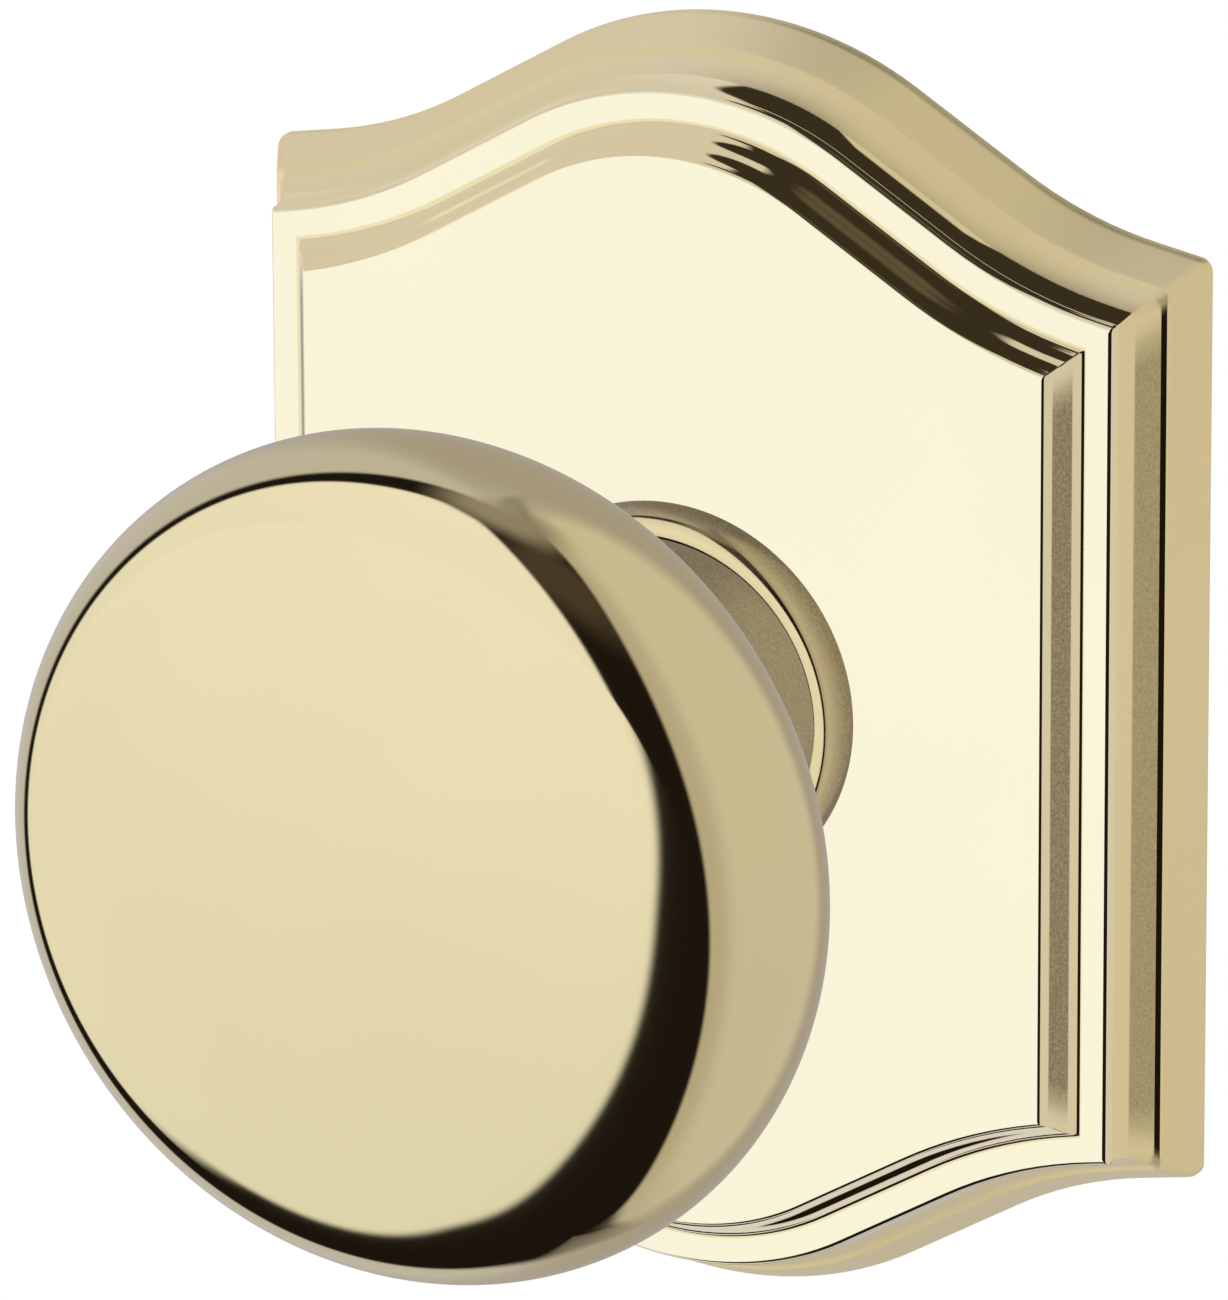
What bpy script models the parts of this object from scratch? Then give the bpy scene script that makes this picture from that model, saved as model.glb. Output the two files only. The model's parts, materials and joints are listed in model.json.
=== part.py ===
"""A sprung door knob on an arched rosette, with the parts that hold and turn it.

Every dimension is in millimetres and is scaled to metres where a mesh is made. A piece is drawn lying on
its back: local +Z, called height here, points from the door's face into the room, and local +Y is up. The
empty `door_face` stands the set up, so that the room side faces -Y and the knob turns about the Y axis.
"""

import math

import bmesh
import bpy
from mathutils import Matrix, Vector

MM = 0.001
GAP = 0.3  # between pieces that touch
MERGE = 0.00001

# Rosette outline: a crown arc, a straight flank, a hollow arc and a straight end, the same above and below.
ROSE_HALF_WIDTH = 34.5
ROSE_HALF_HEIGHT = 44.6
CROWN_RADIUS = 25.5
FLANK_SLOPE = math.radians(31.0)
FLANK_LENGTH = 9.15
HOLLOW_RADIUS = 28.1
END_SLOPE = math.radians(10.3)
CORNER_RADIUS = 1.1
LEAST_END = 0.3  # of the straight end, which shortens as the outline moves in

# Rosette section: inset from the outline, height above the door.
RIM_HEIGHT = 1.6
OGEE_TURN = (1.75, 4.3)
BAND_OUTER, BAND_INNER, BAND_HEIGHT = 3.9, 5.3, 8.3
PANEL_EDGE, PANEL_HEIGHT = 7.45, 10.9
ROSE_WALL = 1.6
EDGE_ROUND = 0.25

# Knob head, turned about the knob axis.
KNOB_RADIUS = 28.5
KNOB_HEIGHT = 46.9  # of its widest circle
FRONT_ROUND, BACK_ROUND, BACK_RADIUS = 8.8, 7.5, 28.0
FACE_TILT, BACK_TILT, THROAT_TILT = math.radians(28.0), math.radians(125.0), math.radians(160.0)
CORE_TILT = math.radians(146.0)
SHELL_WALL = 1.2
CORE_THICKNESS, NUT_RADIUS = 5.0, 11.0

# Neck and tail of the shank.
NECK_RADIUS, WAIST_RADIUS, WAIST_HEIGHT = 11.7, 11.0, 23.0
THROAT_RADIUS, THROAT_HEIGHT = 13.2, 32.3
COLLAR_RADIUS, CREST_RADIUS, COLLAR_HEIGHT = 13.6, 12.3, 13.4
SEAT_RADIUS = 12.9  # of the rosette's hole, which the collar's skirt fits
SHOULDER_HEIGHT = 9.2
TAIL_RADIUS, TAIL_END = 8.0, -6.0
GROOVE_RADIUS, GROOVE_TOP, GROOVE_FOOT = 7.1, -2.6, -4.2
STUB_TOP, FLANGE_TOP = 46.5, 36.2
FLAT_WIDTH = 14.4
SPINDLE_SIDE, SPINDLE_TOP, SPINDLE_END = 8.0, 29.5, -52.0

# Spring cage on its plate.
PLATE_THICKNESS, PLATE_INSET = 1.5, 1.9
SPARE_HOLE_RADIUS, SPARE_HOLE = 3.5, (19.0, 23.0)
CAGE_RADIUS, CAGE_BORE, CAGE_TOP, CAGE_FLOOR = 14.6, 13.5, 8.1, 7.1
CAGE_FOOT = PLATE_THICKNESS + GAP
BUSH_RADIUS = 9.7
HUB_RADIUS, HUB_TOP, HUB_FOOT, LUG_TOP = 9.9, 6.8, 2.1, 3.7
LUG_WIDTH, LUG_REACH = 3.8, 13.1
WIRE_RADIUS, COIL_RADIUS, LEG_RADIUS = 0.45, 10.9, 12.55
COIL_TOP, COIL_FOOT, LEG_FOOT = 6.4, 4.5, 2.3
LEG_ANGLE, COIL_STEPS = math.radians(12.4), 44
TURN_LIMIT = math.radians(60.0)
STOP_RADIUS, STOP_CIRCLE = 0.9, 12.3
BOLT_SPACING, BOLT_RADIUS, BOLT_HEAD, BOLT_END = 38.1, 2.0, 3.9, -45.0
RIVET_OFFSET, RIVET_RADIUS, RIVET_HEAD = 17.4, 1.3, 2.2
CLIP_WIDTH, CLIP_THICKNESS, CLIP_RIVET, CLIP_RIVET_RADIUS = 8.0, 0.4, 24.5, 1.0
SET_SCREW_HEIGHT, SET_SCREW_RADIUS, SET_SCREW_END = 22.0, 2.5, 10.4

ARC_STEP = math.radians(10.0)
INSIDE_STEP = math.radians(16.0)
TURN_STEPS = 32
KNOB_STEPS = 44

# Finish: colour, roughness, metallic.
FINISHES = {
    "polished_brass": ((0.87, 0.75, 0.44), 0.08, 1.0),
    "zinc_plate": ((0.70, 0.71, 0.70), 0.35, 1.0),
    "zinc_casting": ((0.50, 0.50, 0.51), 0.50, 1.0),
    "bronze": ((0.56, 0.37, 0.20), 0.35, 1.0),
    "nylon": ((0.86, 0.85, 0.80), 0.45, 0.0),
    "spring_steel": ((0.33, 0.33, 0.35), 0.30, 1.0),
    "steel": ((0.58, 0.58, 0.60), 0.30, 1.0),
}


# ---------------------------------------------------------------- scene and small helpers


def fresh_collection(name):
    collection = bpy.data.collections.new(name)
    bpy.context.scene.collection.children.link(collection)
    return collection


def empty(name, parent=None, rotation=(0.0, 0.0, 0.0)):
    holder = bpy.data.objects.new(name, None)
    holder.rotation_euler = rotation
    holder.parent = parent
    PARTS.objects.link(holder)
    return holder


def finish_material(name, finish):
    colour, roughness, metallic = FINISHES[finish]
    material = bpy.data.materials.new(name)
    material.use_nodes = True
    shader = material.node_tree.nodes["Principled BSDF"]
    shader.inputs["Base Color"].default_value = (*colour, 1.0)
    shader.inputs["Roughness"].default_value = roughness
    shader.inputs["Metallic"].default_value = metallic
    return material


def piece(name, mesh, parent, finish):
    """A sub-part: its mesh, in a node of its own, with a material of its own."""
    item = bpy.data.objects.new(name, mesh)
    PARTS.objects.link(item)
    item.parent = parent
    mesh.materials.append(finish_material(name, finish))
    mesh.shade_smooth()
    mesh.set_sharp_from_angle(angle=math.radians(30.0))
    return item


def guide(name, mesh):
    """A hidden solid that only cuts or joins another."""
    item = bpy.data.objects.new(name, mesh)
    CUTTERS.objects.link(item)
    item.parent = DOOR_FACE
    item.hide_render = True
    item.display_type = "WIRE"
    return item


def combine(target, other, operation):
    modifier = target.modifiers.new(f"{operation.lower()}_{other.name}", "BOOLEAN")
    modifier.operation = operation
    modifier.solver = "EXACT"
    modifier.object = other


def even_arc(centre, radius, start, end, count):
    """Points round an arc, angles from local +Z towards the outside, both ends included."""
    angles = [start + (end - start) * i / count for i in range(count + 1)]
    return [(centre[0] + radius * math.sin(a), centre[1] + radius * math.cos(a)) for a in angles]


def arc(centre, radius, start, end, step=ARC_STEP):
    return even_arc(centre, radius, start, end, max(2, math.ceil(abs(end - start) / step)))


def mesh_of(name, bm):
    mesh = bpy.data.meshes.new(name)
    bm.to_mesh(mesh)
    bm.free()
    return mesh


# ---------------------------------------------------------------- ways to make a mesh


def turned_mesh(name, profile):
    """A closed loop of (radius, height) points, which a Screw modifier turns about the height axis."""
    bm = bmesh.new()
    verts = [bm.verts.new((r * MM, 0.0, h * MM)) for r, h in profile]
    on_axis = profile[0][0] == 0.0 and profile[-1][0] == 0.0
    pairs = zip(verts, verts[1:] if on_axis else verts[1:] + verts[:1])
    for a, b in pairs:
        bm.edges.new((a, b))
    return mesh_of(name, bm)


def turn(item, steps=TURN_STEPS):
    screw = item.modifiers.new("turn", "SCREW")
    screw.axis = "Z"
    screw.steps = screw.render_steps = steps
    screw.use_merge_vertices = True
    screw.merge_threshold = MERGE
    return item


def turned(name, profile, parent, finish, steps=TURN_STEPS):
    return turn(piece(name, turned_mesh(name, profile), parent, finish), steps)


def ring_profile(inner, outer, foot, top):
    return [(inner, top), (outer, top), (outer, foot), (inner, foot)]


def lofted_mesh(name, rings):
    """A closed body through rings of equal point count, the last ring joined back to the first."""
    bm = bmesh.new()
    loops = [[bm.verts.new(Vector(p) * MM) for p in ring] for ring in rings]
    count = len(loops[0])
    for lower, upper in zip(loops, loops[1:] + loops[:1]):
        for i in range(count):
            j = (i + 1) % count
            bm.faces.new((lower[i], lower[j], upper[j], upper[i]))
    bmesh.ops.recalc_face_normals(bm, faces=bm.faces)
    return mesh_of(name, bm)


def prism_mesh(name, outline, foot, top):
    bm = bmesh.new()
    base = bm.faces.new([bm.verts.new((x * MM, y * MM, foot * MM)) for x, y in outline])
    grown = bmesh.ops.extrude_face_region(bm, geom=[base])
    raised = [v for v in grown["geom"] if isinstance(v, bmesh.types.BMVert)]
    bmesh.ops.translate(bm, verts=raised, vec=(0.0, 0.0, (top - foot) * MM))
    bmesh.ops.recalc_face_normals(bm, faces=bm.faces)
    return mesh_of(name, bm)


def box_mesh(name, size, centre):
    bm = bmesh.new()
    place = Matrix.Translation(Vector(centre) * MM) @ Matrix.Diagonal((*(Vector(size) * MM), 1.0))
    bmesh.ops.create_cube(bm, size=1.0, matrix=place)
    return mesh_of(name, bm)


def rod_mesh(name, radius, foot, top, centre=(0.0, 0.0), sides=20, along_y=False):
    """A cylinder along the height axis, or along local Y where foot and top are then distances up."""
    bm = bmesh.new()
    middle = (foot + top) / 2
    if along_y:
        place = Matrix.Translation(Vector((centre[0], middle, centre[1])) * MM)
        place = place @ Matrix.Rotation(math.radians(90.0), 4, "X")
    else:
        place = Matrix.Translation(Vector((centre[0], centre[1], middle)) * MM)
    bmesh.ops.create_cone(
        bm, cap_ends=True, segments=sides, radius1=radius * MM, radius2=radius * MM,
        depth=(top - foot) * MM, matrix=place,
    )
    return mesh_of(name, bm)


def drill(target, radius, foot, top, centre, sides=14):
    hole = guide(f"{target.name}_hole", rod_mesh("hole", radius, foot, top, centre, sides))
    combine(target, hole, "DIFFERENCE")


def soften(item, width):
    bevel = item.modifiers.new("soft_edges", "BEVEL")
    bevel.width = width * MM
    bevel.segments = 2
    bevel.angle_limit = math.radians(40.0)


# ---------------------------------------------------------------- rosette outline


def corner_radius(inset):
    """The corner is round at the rim and runs to a crisp mitre at the band."""
    return max(0.2, CORNER_RADIUS * (1.0 - inset / BAND_OUTER))


def outline_quarter(inset):
    """The outline's upper right quarter, moved in by inset, from the crown's top to the side's middle."""
    crown = (0.0, ROSE_HALF_HEIGHT - CROWN_RADIUS)
    across, up = math.cos(FLANK_SLOPE), math.sin(FLANK_SLOPE)
    flank_x = CROWN_RADIUS * up + FLANK_LENGTH * across
    flank_y = crown[1] + CROWN_RADIUS * across - FLANK_LENGTH * up
    hollow = (flank_x + HOLLOW_RADIUS * up, flank_y + HOLLOW_RADIUS * across)
    side, radius = ROSE_HALF_WIDTH - inset, corner_radius(inset)
    corner_x = side - radius
    sweep_radius = HOLLOW_RADIUS + inset
    end_slope = max(END_SLOPE, math.asin((hollow[0] - corner_x + LEAST_END) / sweep_radius))
    points = arc(crown, CROWN_RADIUS - inset, 0.0, FLANK_SLOPE)
    points += even_arc(hollow, sweep_radius, math.pi + FLANK_SLOPE, math.pi + end_slope, 3)
    end_x, end_y = points[-1]
    drop = math.tan(end_slope)
    corner_y = end_y - (corner_x - end_x) * drop - radius / math.cos(end_slope)
    points.append(((end_x + corner_x) / 2, end_y - (corner_x - end_x) / 2 * drop))
    points += even_arc((corner_x, corner_y), radius, end_slope, math.radians(90.0), 3)
    return points + [(side, corner_y / 2), (side, 0.0)]


def outline(inset):
    quarter = outline_quarter(inset)
    half = quarter + [(x, -y) for x, y in reversed(quarter[:-1])]
    return half + [(-x, y) for x, y in reversed(half[1:-1])]


def outline_ring(inset, height):
    return [(x, y, height) for x, y in outline(inset)]


def round_ring(radius, height):
    """A circle whose points follow the outline's directions, so that a loft to it doesn't twist."""
    angles = [math.atan2(y, x) for x, y in outline(PANEL_EDGE)]
    return [(radius * math.cos(a), radius * math.sin(a), height) for a in angles]


def ogee(foot, turn_at, top):
    """A moulding's section: a swelling quarter from foot to turn_at, then a hollow quarter up to top."""
    quarter = math.pi / 2
    shares = (0.0, 0.3, 0.65, 1.0)
    swell = [
        (foot[0] + (turn_at[0] - foot[0]) * (1 - math.cos(s * quarter)),
         foot[1] + (turn_at[1] - foot[1]) * math.sin(s * quarter))
        for s in shares
    ]
    sweep = [
        (turn_at[0] + (top[0] - turn_at[0]) * math.sin(s * quarter),
         turn_at[1] + (top[1] - turn_at[1]) * (1 - math.cos(s * quarter)))
        for s in shares[1:]
    ]
    return swell + sweep


# ---------------------------------------------------------------- fixed pieces


def make_rosette():
    half_edge = EDGE_ROUND / 2
    moulding = ogee((0.0, RIM_HEIGHT), OGEE_TURN, (BAND_OUTER - half_edge, BAND_HEIGHT - EDGE_ROUND))
    step_turn = ((BAND_INNER + PANEL_EDGE) / 2, (BAND_HEIGHT + PANEL_HEIGHT) / 2)
    step = ogee((BAND_INNER, BAND_HEIGHT), step_turn, (PANEL_EDGE - half_edge, PANEL_HEIGHT - EDGE_ROUND))
    front = [(0.0, 0.0)] + moulding + [(BAND_OUTER + half_edge, BAND_HEIGHT)] + step
    front += [(PANEL_EDGE + half_edge, PANEL_HEIGHT)]
    panel_under, band_under = PANEL_HEIGHT - ROSE_WALL, BAND_HEIGHT - ROSE_WALL
    back = [(PANEL_EDGE + 1.15, panel_under), (BAND_INNER + 1.5, band_under), (BAND_INNER, band_under)]
    back += [(ROSE_WALL, RIM_HEIGHT + 0.8), (ROSE_WALL, 0.0)]
    rings = [outline_ring(*p) for p in front]
    rings += [round_ring(SEAT_RADIUS, PANEL_HEIGHT), round_ring(SEAT_RADIUS, panel_under)]
    rings += [outline_ring(*p) for p in back]
    piece("rosette", lofted_mesh("rosette", rings), DOOR_FACE, "polished_brass")


def make_collar():
    swell, bore = COLLAR_RADIUS - CREST_RADIUS, NECK_RADIUS + GAP
    seat = PANEL_HEIGHT + GAP
    profile = [(bore + 0.1, COLLAR_HEIGHT - 0.15), (CREST_RADIUS, COLLAR_HEIGHT)]
    profile += [
        (CREST_RADIUS + swell * math.sin(a), seat + (COLLAR_HEIGHT - seat) * math.cos(a))
        for a in [math.radians(d) for d in (25, 50, 72, 90)]
    ]
    skirt = SEAT_RADIUS - GAP
    foot = PANEL_HEIGHT - ROSE_WALL - 0.4
    profile += [(skirt, seat), (skirt, foot), (bore, foot), (bore, COLLAR_HEIGHT - 0.3)]
    turned("rose_collar", profile, DOOR_FACE, "polished_brass", 36)


def make_mounting_plate():
    plate = piece(
        "mounting_plate", prism_mesh("mounting_plate", outline(PLATE_INSET), 0.0, PLATE_THICKNESS),
        DOOR_FACE, "zinc_plate",
    )
    through = (-1.0, PLATE_THICKNESS + 1.0)
    drill(plate, BUSH_RADIUS + GAP, *through, (0.0, 0.0), TURN_STEPS)
    for side in (-1, 1):
        drill(plate, BOLT_RADIUS + 0.4, *through, (0.0, side * BOLT_SPACING / 2))
        drill(plate, RIVET_RADIUS + GAP, *through, (side * RIVET_OFFSET, 0.0))
        for end in (-1, 1):
            drill(plate, SPARE_HOLE_RADIUS, *through, (side * SPARE_HOLE[0], end * SPARE_HOLE[1]))
    for direction, reach in clip_places().values():
        drill(plate, CLIP_RIVET_RADIUS + GAP, *through, tuple(direction * (CLIP_RIVET + reach)))


def make_spring_cage():
    wall = CAGE_RADIUS - CAGE_BORE
    profile = [
        (BUSH_RADIUS + GAP, CAGE_TOP), (CAGE_RADIUS - 0.4, CAGE_TOP), (CAGE_RADIUS, CAGE_TOP - 0.4),
        (CAGE_RADIUS, CAGE_FOOT), (CAGE_BORE, CAGE_FOOT), (CAGE_BORE, CAGE_FLOOR),
        (BUSH_RADIUS + GAP, CAGE_FLOOR),
    ]
    cage = turned("spring_cage", profile, DOOR_FACE, "zinc_casting")
    anchor_inner = COIL_RADIUS + WIRE_RADIUS + 0.4
    anchor_length = CAGE_BORE + wall / 2 - anchor_inner
    anchor_foot = COIL_FOOT - 0.2
    anchor = box_mesh(
        "anchor", (LUG_WIDTH, anchor_length, CAGE_FLOOR + wall / 2 - anchor_foot),
        (0.0, anchor_inner + anchor_length / 2, (CAGE_FLOOR + wall / 2 + anchor_foot) / 2),
    )
    combine(cage, guide("cage_anchor", anchor), "UNION")
    for side in (-1, 1):
        inner, outer = CAGE_BORE + wall / 2, RIVET_OFFSET + 3.2
        ear = box_mesh(
            "ear", (outer - inner, 6.4, 1.2), (side * (inner + outer) / 2, 0.0, CAGE_FOOT + 0.6)
        )
        combine(cage, guide("cage_ear", ear), "UNION")
        drill(cage, RIVET_RADIUS + GAP, 0.0, CAGE_FOOT + 2.0, (side * RIVET_OFFSET, 0.0))


def make_bushes():
    bore = TAIL_RADIUS + GAP
    turned("cage_bush", ring_profile(bore, BUSH_RADIUS, CAGE_FLOOR, CAGE_TOP), DOOR_FACE, "bronze")
    turned("plate_bush", ring_profile(bore, BUSH_RADIUS, -GAP, PLATE_THICKNESS), DOOR_FACE, "bronze")


def make_stops():
    """Two pins that the hub's lower lug meets at the ends of its turn."""
    lug_half = math.atan(LUG_WIDTH / 2 / STOP_CIRCLE)
    away = TURN_LIMIT + lug_half + math.asin(STOP_RADIUS / STOP_CIRCLE) + math.radians(1.0)
    for name, side in (("left", -1), ("right", 1)):
        centre = (side * STOP_CIRCLE * math.sin(away), -STOP_CIRCLE * math.cos(away))
        mesh = rod_mesh("stop_pin", STOP_RADIUS, CAGE_FOOT, LUG_TOP, centre, 16)
        piece(f"stop_pin_{name}", mesh, DOOR_FACE, "steel")


def headed_profile(head, shank, foot, seat, top):
    """A rivet or screw with a low domed head, standing on its seat."""
    crown = [(head * math.sin(a), seat + (top - seat) * math.cos(a)) for a in
             [math.radians(d) for d in (0, 25, 50, 75, 90)]]
    return crown + [(shank, seat), (shank, foot), (0.0, foot)]


def make_cage_rivets():
    seat = CAGE_FOOT + 1.2 + GAP
    profile = headed_profile(RIVET_HEAD, RIVET_RADIUS, 0.0, seat, seat + 1.0)
    for name, side in (("left", -1), ("right", 1)):
        rivet = turned(f"cage_rivet_{name}", profile, DOOR_FACE, "steel", 16)
        rivet.location.x = side * RIVET_OFFSET * MM


def make_through_bolts():
    seat = PLATE_THICKNESS + GAP
    profile = headed_profile(BOLT_HEAD, BOLT_RADIUS, BOLT_END, seat, seat + 2.6)
    slot = guide("bolt_slot", box_mesh("slot", (9.0, 1.0, 2.4), (0.0, 0.0, seat + 2.4)))
    for name, side in (("bottom", -1), ("top", 1)):
        bolt = turned(f"through_bolt_{name}", profile, DOOR_FACE, "steel", 16)
        bolt.location.y = side * BOLT_SPACING / 2 * MM
        own_slot = guide(f"{bolt.name}_slot", slot.data)
        own_slot.location.y = bolt.location.y
        combine(bolt, own_slot, "DIFFERENCE")
    bpy.data.objects.remove(slot)


def clip_places():
    """Each clip's direction from the centre, and how much further out it sits than a side clip."""
    extra = ROSE_HALF_HEIGHT - ROSE_HALF_WIDTH - 0.4
    return {
        "right": (Vector((1.0, 0.0)), 0.0),
        "top": (Vector((0.0, 1.0)), extra),
        "left": (Vector((-1.0, 0.0)), 0.0),
        "bottom": (Vector((0.0, -1.0)), extra),
    }


def make_rosette_clips():
    """Leaf springs that bow out against the rosette's inner wall, each under a rivet."""
    lie = PLATE_THICKNESS + GAP + CLIP_THICKNESS / 2
    seat = lie + CLIP_THICKNESS / 2 + GAP
    path = [(21.5, 0.0), (28.0, 0.0), (29.4, 0.5), (30.4, 1.5), (30.6, 2.4), (29.9, 3.6)]
    profile = headed_profile(1.8, CLIP_RIVET_RADIUS, 0.0, seat, seat + 0.8)
    for name, (direction, reach) in clip_places().items():
        bm = bmesh.new()
        rows = []
        for along, rise in path:
            ends = [Vector((along + reach, side * CLIP_WIDTH / 2, lie + rise)) * MM for side in (-1, 1)]
            rows.append([bm.verts.new(p) for p in ends])
        for a, b in zip(rows, rows[1:]):
            bm.faces.new((a[0], b[0], b[1], a[1]))
        clip = piece(f"rosette_clip_{name}", mesh_of("clip", bm), DOOR_FACE, "spring_steel")
        clip.rotation_euler.z = math.atan2(direction.y, direction.x)
        leaf = clip.modifiers.new("leaf", "SOLIDIFY")
        leaf.thickness = CLIP_THICKNESS * MM
        leaf.offset = 0.0
        leaf.use_even_offset = True
        centre = tuple(direction * (CLIP_RIVET + reach))
        drill(clip, CLIP_RIVET_RADIUS + GAP, 0.0, 4.0, centre, 12)
        rivet = turned(f"clip_rivet_{name}", profile, DOOR_FACE, "steel", 12)
        rivet.location = (centre[0] * MM, centre[1] * MM, 0.0)


def make_return_spring():
    """A torsion spring round the hub. Its legs stand either side of the cage's anchor and the hub's lug."""
    sweep = 4 * math.pi - 2 * LEG_ANGLE
    route = [(LEG_RADIUS, LEG_ANGLE, LEG_FOOT), (LEG_RADIUS, LEG_ANGLE, COIL_TOP)]
    for share in [i / COIL_STEPS for i in range(COIL_STEPS + 1)]:
        route.append((COIL_RADIUS, LEG_ANGLE + sweep * share, COIL_TOP + (COIL_FOOT - COIL_TOP) * share))
    route += [(LEG_RADIUS, LEG_ANGLE + sweep, COIL_FOOT), (LEG_RADIUS, LEG_ANGLE + sweep, LEG_FOOT)]
    wire = bpy.data.curves.new("wire", "CURVE")
    wire.dimensions = "3D"
    wire.bevel_depth = WIRE_RADIUS * MM
    wire.bevel_resolution = 2
    wire.use_fill_caps = True
    spline = wire.splines.new("POLY")
    spline.points.add(len(route) - 1)
    for point, (radius, angle, height) in zip(spline.points, route):
        point.co = (radius * math.sin(angle) * MM, radius * math.cos(angle) * MM, height * MM, 1.0)
    wire.materials.append(finish_material("return_spring", "spring_steel"))
    spring = bpy.data.objects.new("return_spring", wire)
    spring.parent = DOOR_FACE
    PARTS.objects.link(spring)


# ---------------------------------------------------------------- pieces that turn


def knob_surface(inset, step, start=0.0, end=THROAT_TILT):
    """The knob's section between two tilts of its surface from the face, moved in by inset."""
    front = (KNOB_RADIUS - FRONT_ROUND, KNOB_HEIGHT)
    back = (KNOB_RADIUS - BACK_ROUND, KNOB_HEIGHT)
    face_radius = front[0] / math.sin(FACE_TILT) + FRONT_ROUND
    face = (0.0, KNOB_HEIGHT - (face_radius - FRONT_ROUND) * math.cos(FACE_TILT))
    shoulder = (
        back[0] - (BACK_RADIUS - BACK_ROUND) * math.sin(BACK_TILT),
        back[1] - (BACK_RADIUS - BACK_ROUND) * math.cos(BACK_TILT),
    )
    stretches = [
        (face, face_radius, 0.0, FACE_TILT),
        (front, FRONT_ROUND, FACE_TILT, math.pi / 2),
        (back, BACK_ROUND, math.pi / 2, BACK_TILT),
        (shoulder, BACK_RADIUS, BACK_TILT, THROAT_TILT),
    ]
    points = []
    for centre, radius, low, high in stretches:
        low, high = max(low, start), min(high, end)
        if high > low:
            points += arc(centre, radius - inset, low, high, step)
    return [p for i, p in enumerate(points) if i == 0 or math.dist(p, points[i - 1]) > 0.02]


def make_knob_shell():
    outer, inner = knob_surface(0.0, ARC_STEP), knob_surface(SHELL_WALL, INSIDE_STEP)
    profile = outer + inner[::-1]
    turned("knob_shell", profile, KNOB_TURN, "polished_brass", KNOB_STEPS)


def neck_profile():
    """The neck's waist, from the throat under the knob head down to the collar."""
    points = []
    for share in (1.0, 0.9, 0.78, 0.62, 0.4, 0.0):
        height = WAIST_HEIGHT + (THROAT_HEIGHT - WAIST_HEIGHT) * share
        points.append((WAIST_RADIUS + (THROAT_RADIUS - WAIST_RADIUS) * share**3.5, height))
    for share in (0.4, 0.7, 1.0):
        height = WAIST_HEIGHT + (COLLAR_HEIGHT + 0.6 - WAIST_HEIGHT) * share
        points.append((WAIST_RADIUS + (NECK_RADIUS - WAIST_RADIUS) * share**2, height))
    return points


def make_shank():
    profile = [(0.0, STUB_TOP), (TAIL_RADIUS - 0.4, STUB_TOP), (TAIL_RADIUS, STUB_TOP - 0.4)]
    flange = THROAT_RADIUS - 0.2
    profile += [(TAIL_RADIUS, FLANGE_TOP), (flange, FLANGE_TOP), (flange, THROAT_HEIGHT + 0.4)]
    profile += neck_profile()
    profile += [(NECK_RADIUS, SHOULDER_HEIGHT), (TAIL_RADIUS, SHOULDER_HEIGHT), (TAIL_RADIUS, GROOVE_TOP)]
    profile += [(GROOVE_RADIUS, GROOVE_TOP), (GROOVE_RADIUS, GROOVE_FOOT), (TAIL_RADIUS, GROOVE_FOOT)]
    profile += [(TAIL_RADIUS, TAIL_END + 0.4), (TAIL_RADIUS - 0.4, TAIL_END), (0.0, TAIL_END)]
    shank = turned("knob_shank", profile, KNOB_TURN, "polished_brass")
    side = SPINDLE_SIDE + 2 * GAP
    depth = SPINDLE_TOP + 0.5 - TAIL_END + 1.0
    socket = box_mesh("socket", (side, side, depth), (0.0, 0.0, TAIL_END - 1.0 + depth / 2))
    combine(shank, guide("spindle_socket", socket), "DIFFERENCE")
    for way in (-1, 1):
        flat = box_mesh("flat", (4.0, 20.0, HUB_TOP + 0.2 - HUB_FOOT + 0.1),
                        (way * (FLAT_WIDTH / 2 + 2.0), 0.0, (HUB_TOP + 0.3 + HUB_FOOT) / 2))
        combine(shank, guide("hub_flat", flat), "DIFFERENCE")
    hole = rod_mesh("hole", SET_SCREW_RADIUS + GAP, -14.0, -3.0, (0.0, SET_SCREW_HEIGHT), along_y=True)
    combine(shank, guide("set_screw_hole", hole), "DIFFERENCE")


def make_knob_core():
    """A dished casting inside the shell, held down on the shank's flange by its nut."""
    seat, bore = FLANGE_TOP + GAP, TAIL_RADIUS + GAP
    top = seat + CORE_THICKNESS
    edge = knob_surface(SHELL_WALL + 2 * GAP, INSIDE_STEP, BACK_TILT, CORE_TILT)
    profile = [(bore, top), (20.5, top), (22.5, edge[0][1]), *edge, (edge[-1][0], seat), (bore, seat)]
    turned("knob_core", profile, KNOB_TURN, "zinc_casting")
    nut_mesh = rod_mesh("nut", NUT_RADIUS, top + GAP, STUB_TOP - 0.8, sides=6)
    nut = piece("core_nut", nut_mesh, KNOB_TURN, "steel")
    drill(nut, bore, seat, STUB_TOP + 2.0, (0.0, 0.0), TURN_STEPS)


def make_drive_hub():
    """A ring keyed to the shank's flats. Its upper lug winds the spring, its lower one meets the stops."""
    hub = turned("drive_hub", ring_profile(6.0, HUB_RADIUS, HUB_FOOT, HUB_TOP), KNOB_TURN, "steel")
    inner = HUB_RADIUS - 0.8
    for way in (-1, 1):
        lug = box_mesh(
            "lug", (LUG_WIDTH, LUG_REACH - inner, LUG_TOP - HUB_FOOT),
            (0.0, way * (inner + LUG_REACH) / 2, (LUG_TOP + HUB_FOOT) / 2),
        )
        combine(hub, guide("hub_lug", lug), "UNION")
    bore = rod_mesh("bore", TAIL_RADIUS + GAP, HUB_FOOT - 1.0, HUB_TOP + 1.0, sides=TURN_STEPS)
    key = guide("hub_bore", bore)
    for way in (-1, 1):
        land = box_mesh("land", (4.0, 20.0, 12.0), (way * (FLAT_WIDTH / 2 + GAP + 2.0), 0.0, 4.0))
        combine(key, guide("hub_land", land), "DIFFERENCE")
    combine(hub, key, "DIFFERENCE")


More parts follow.
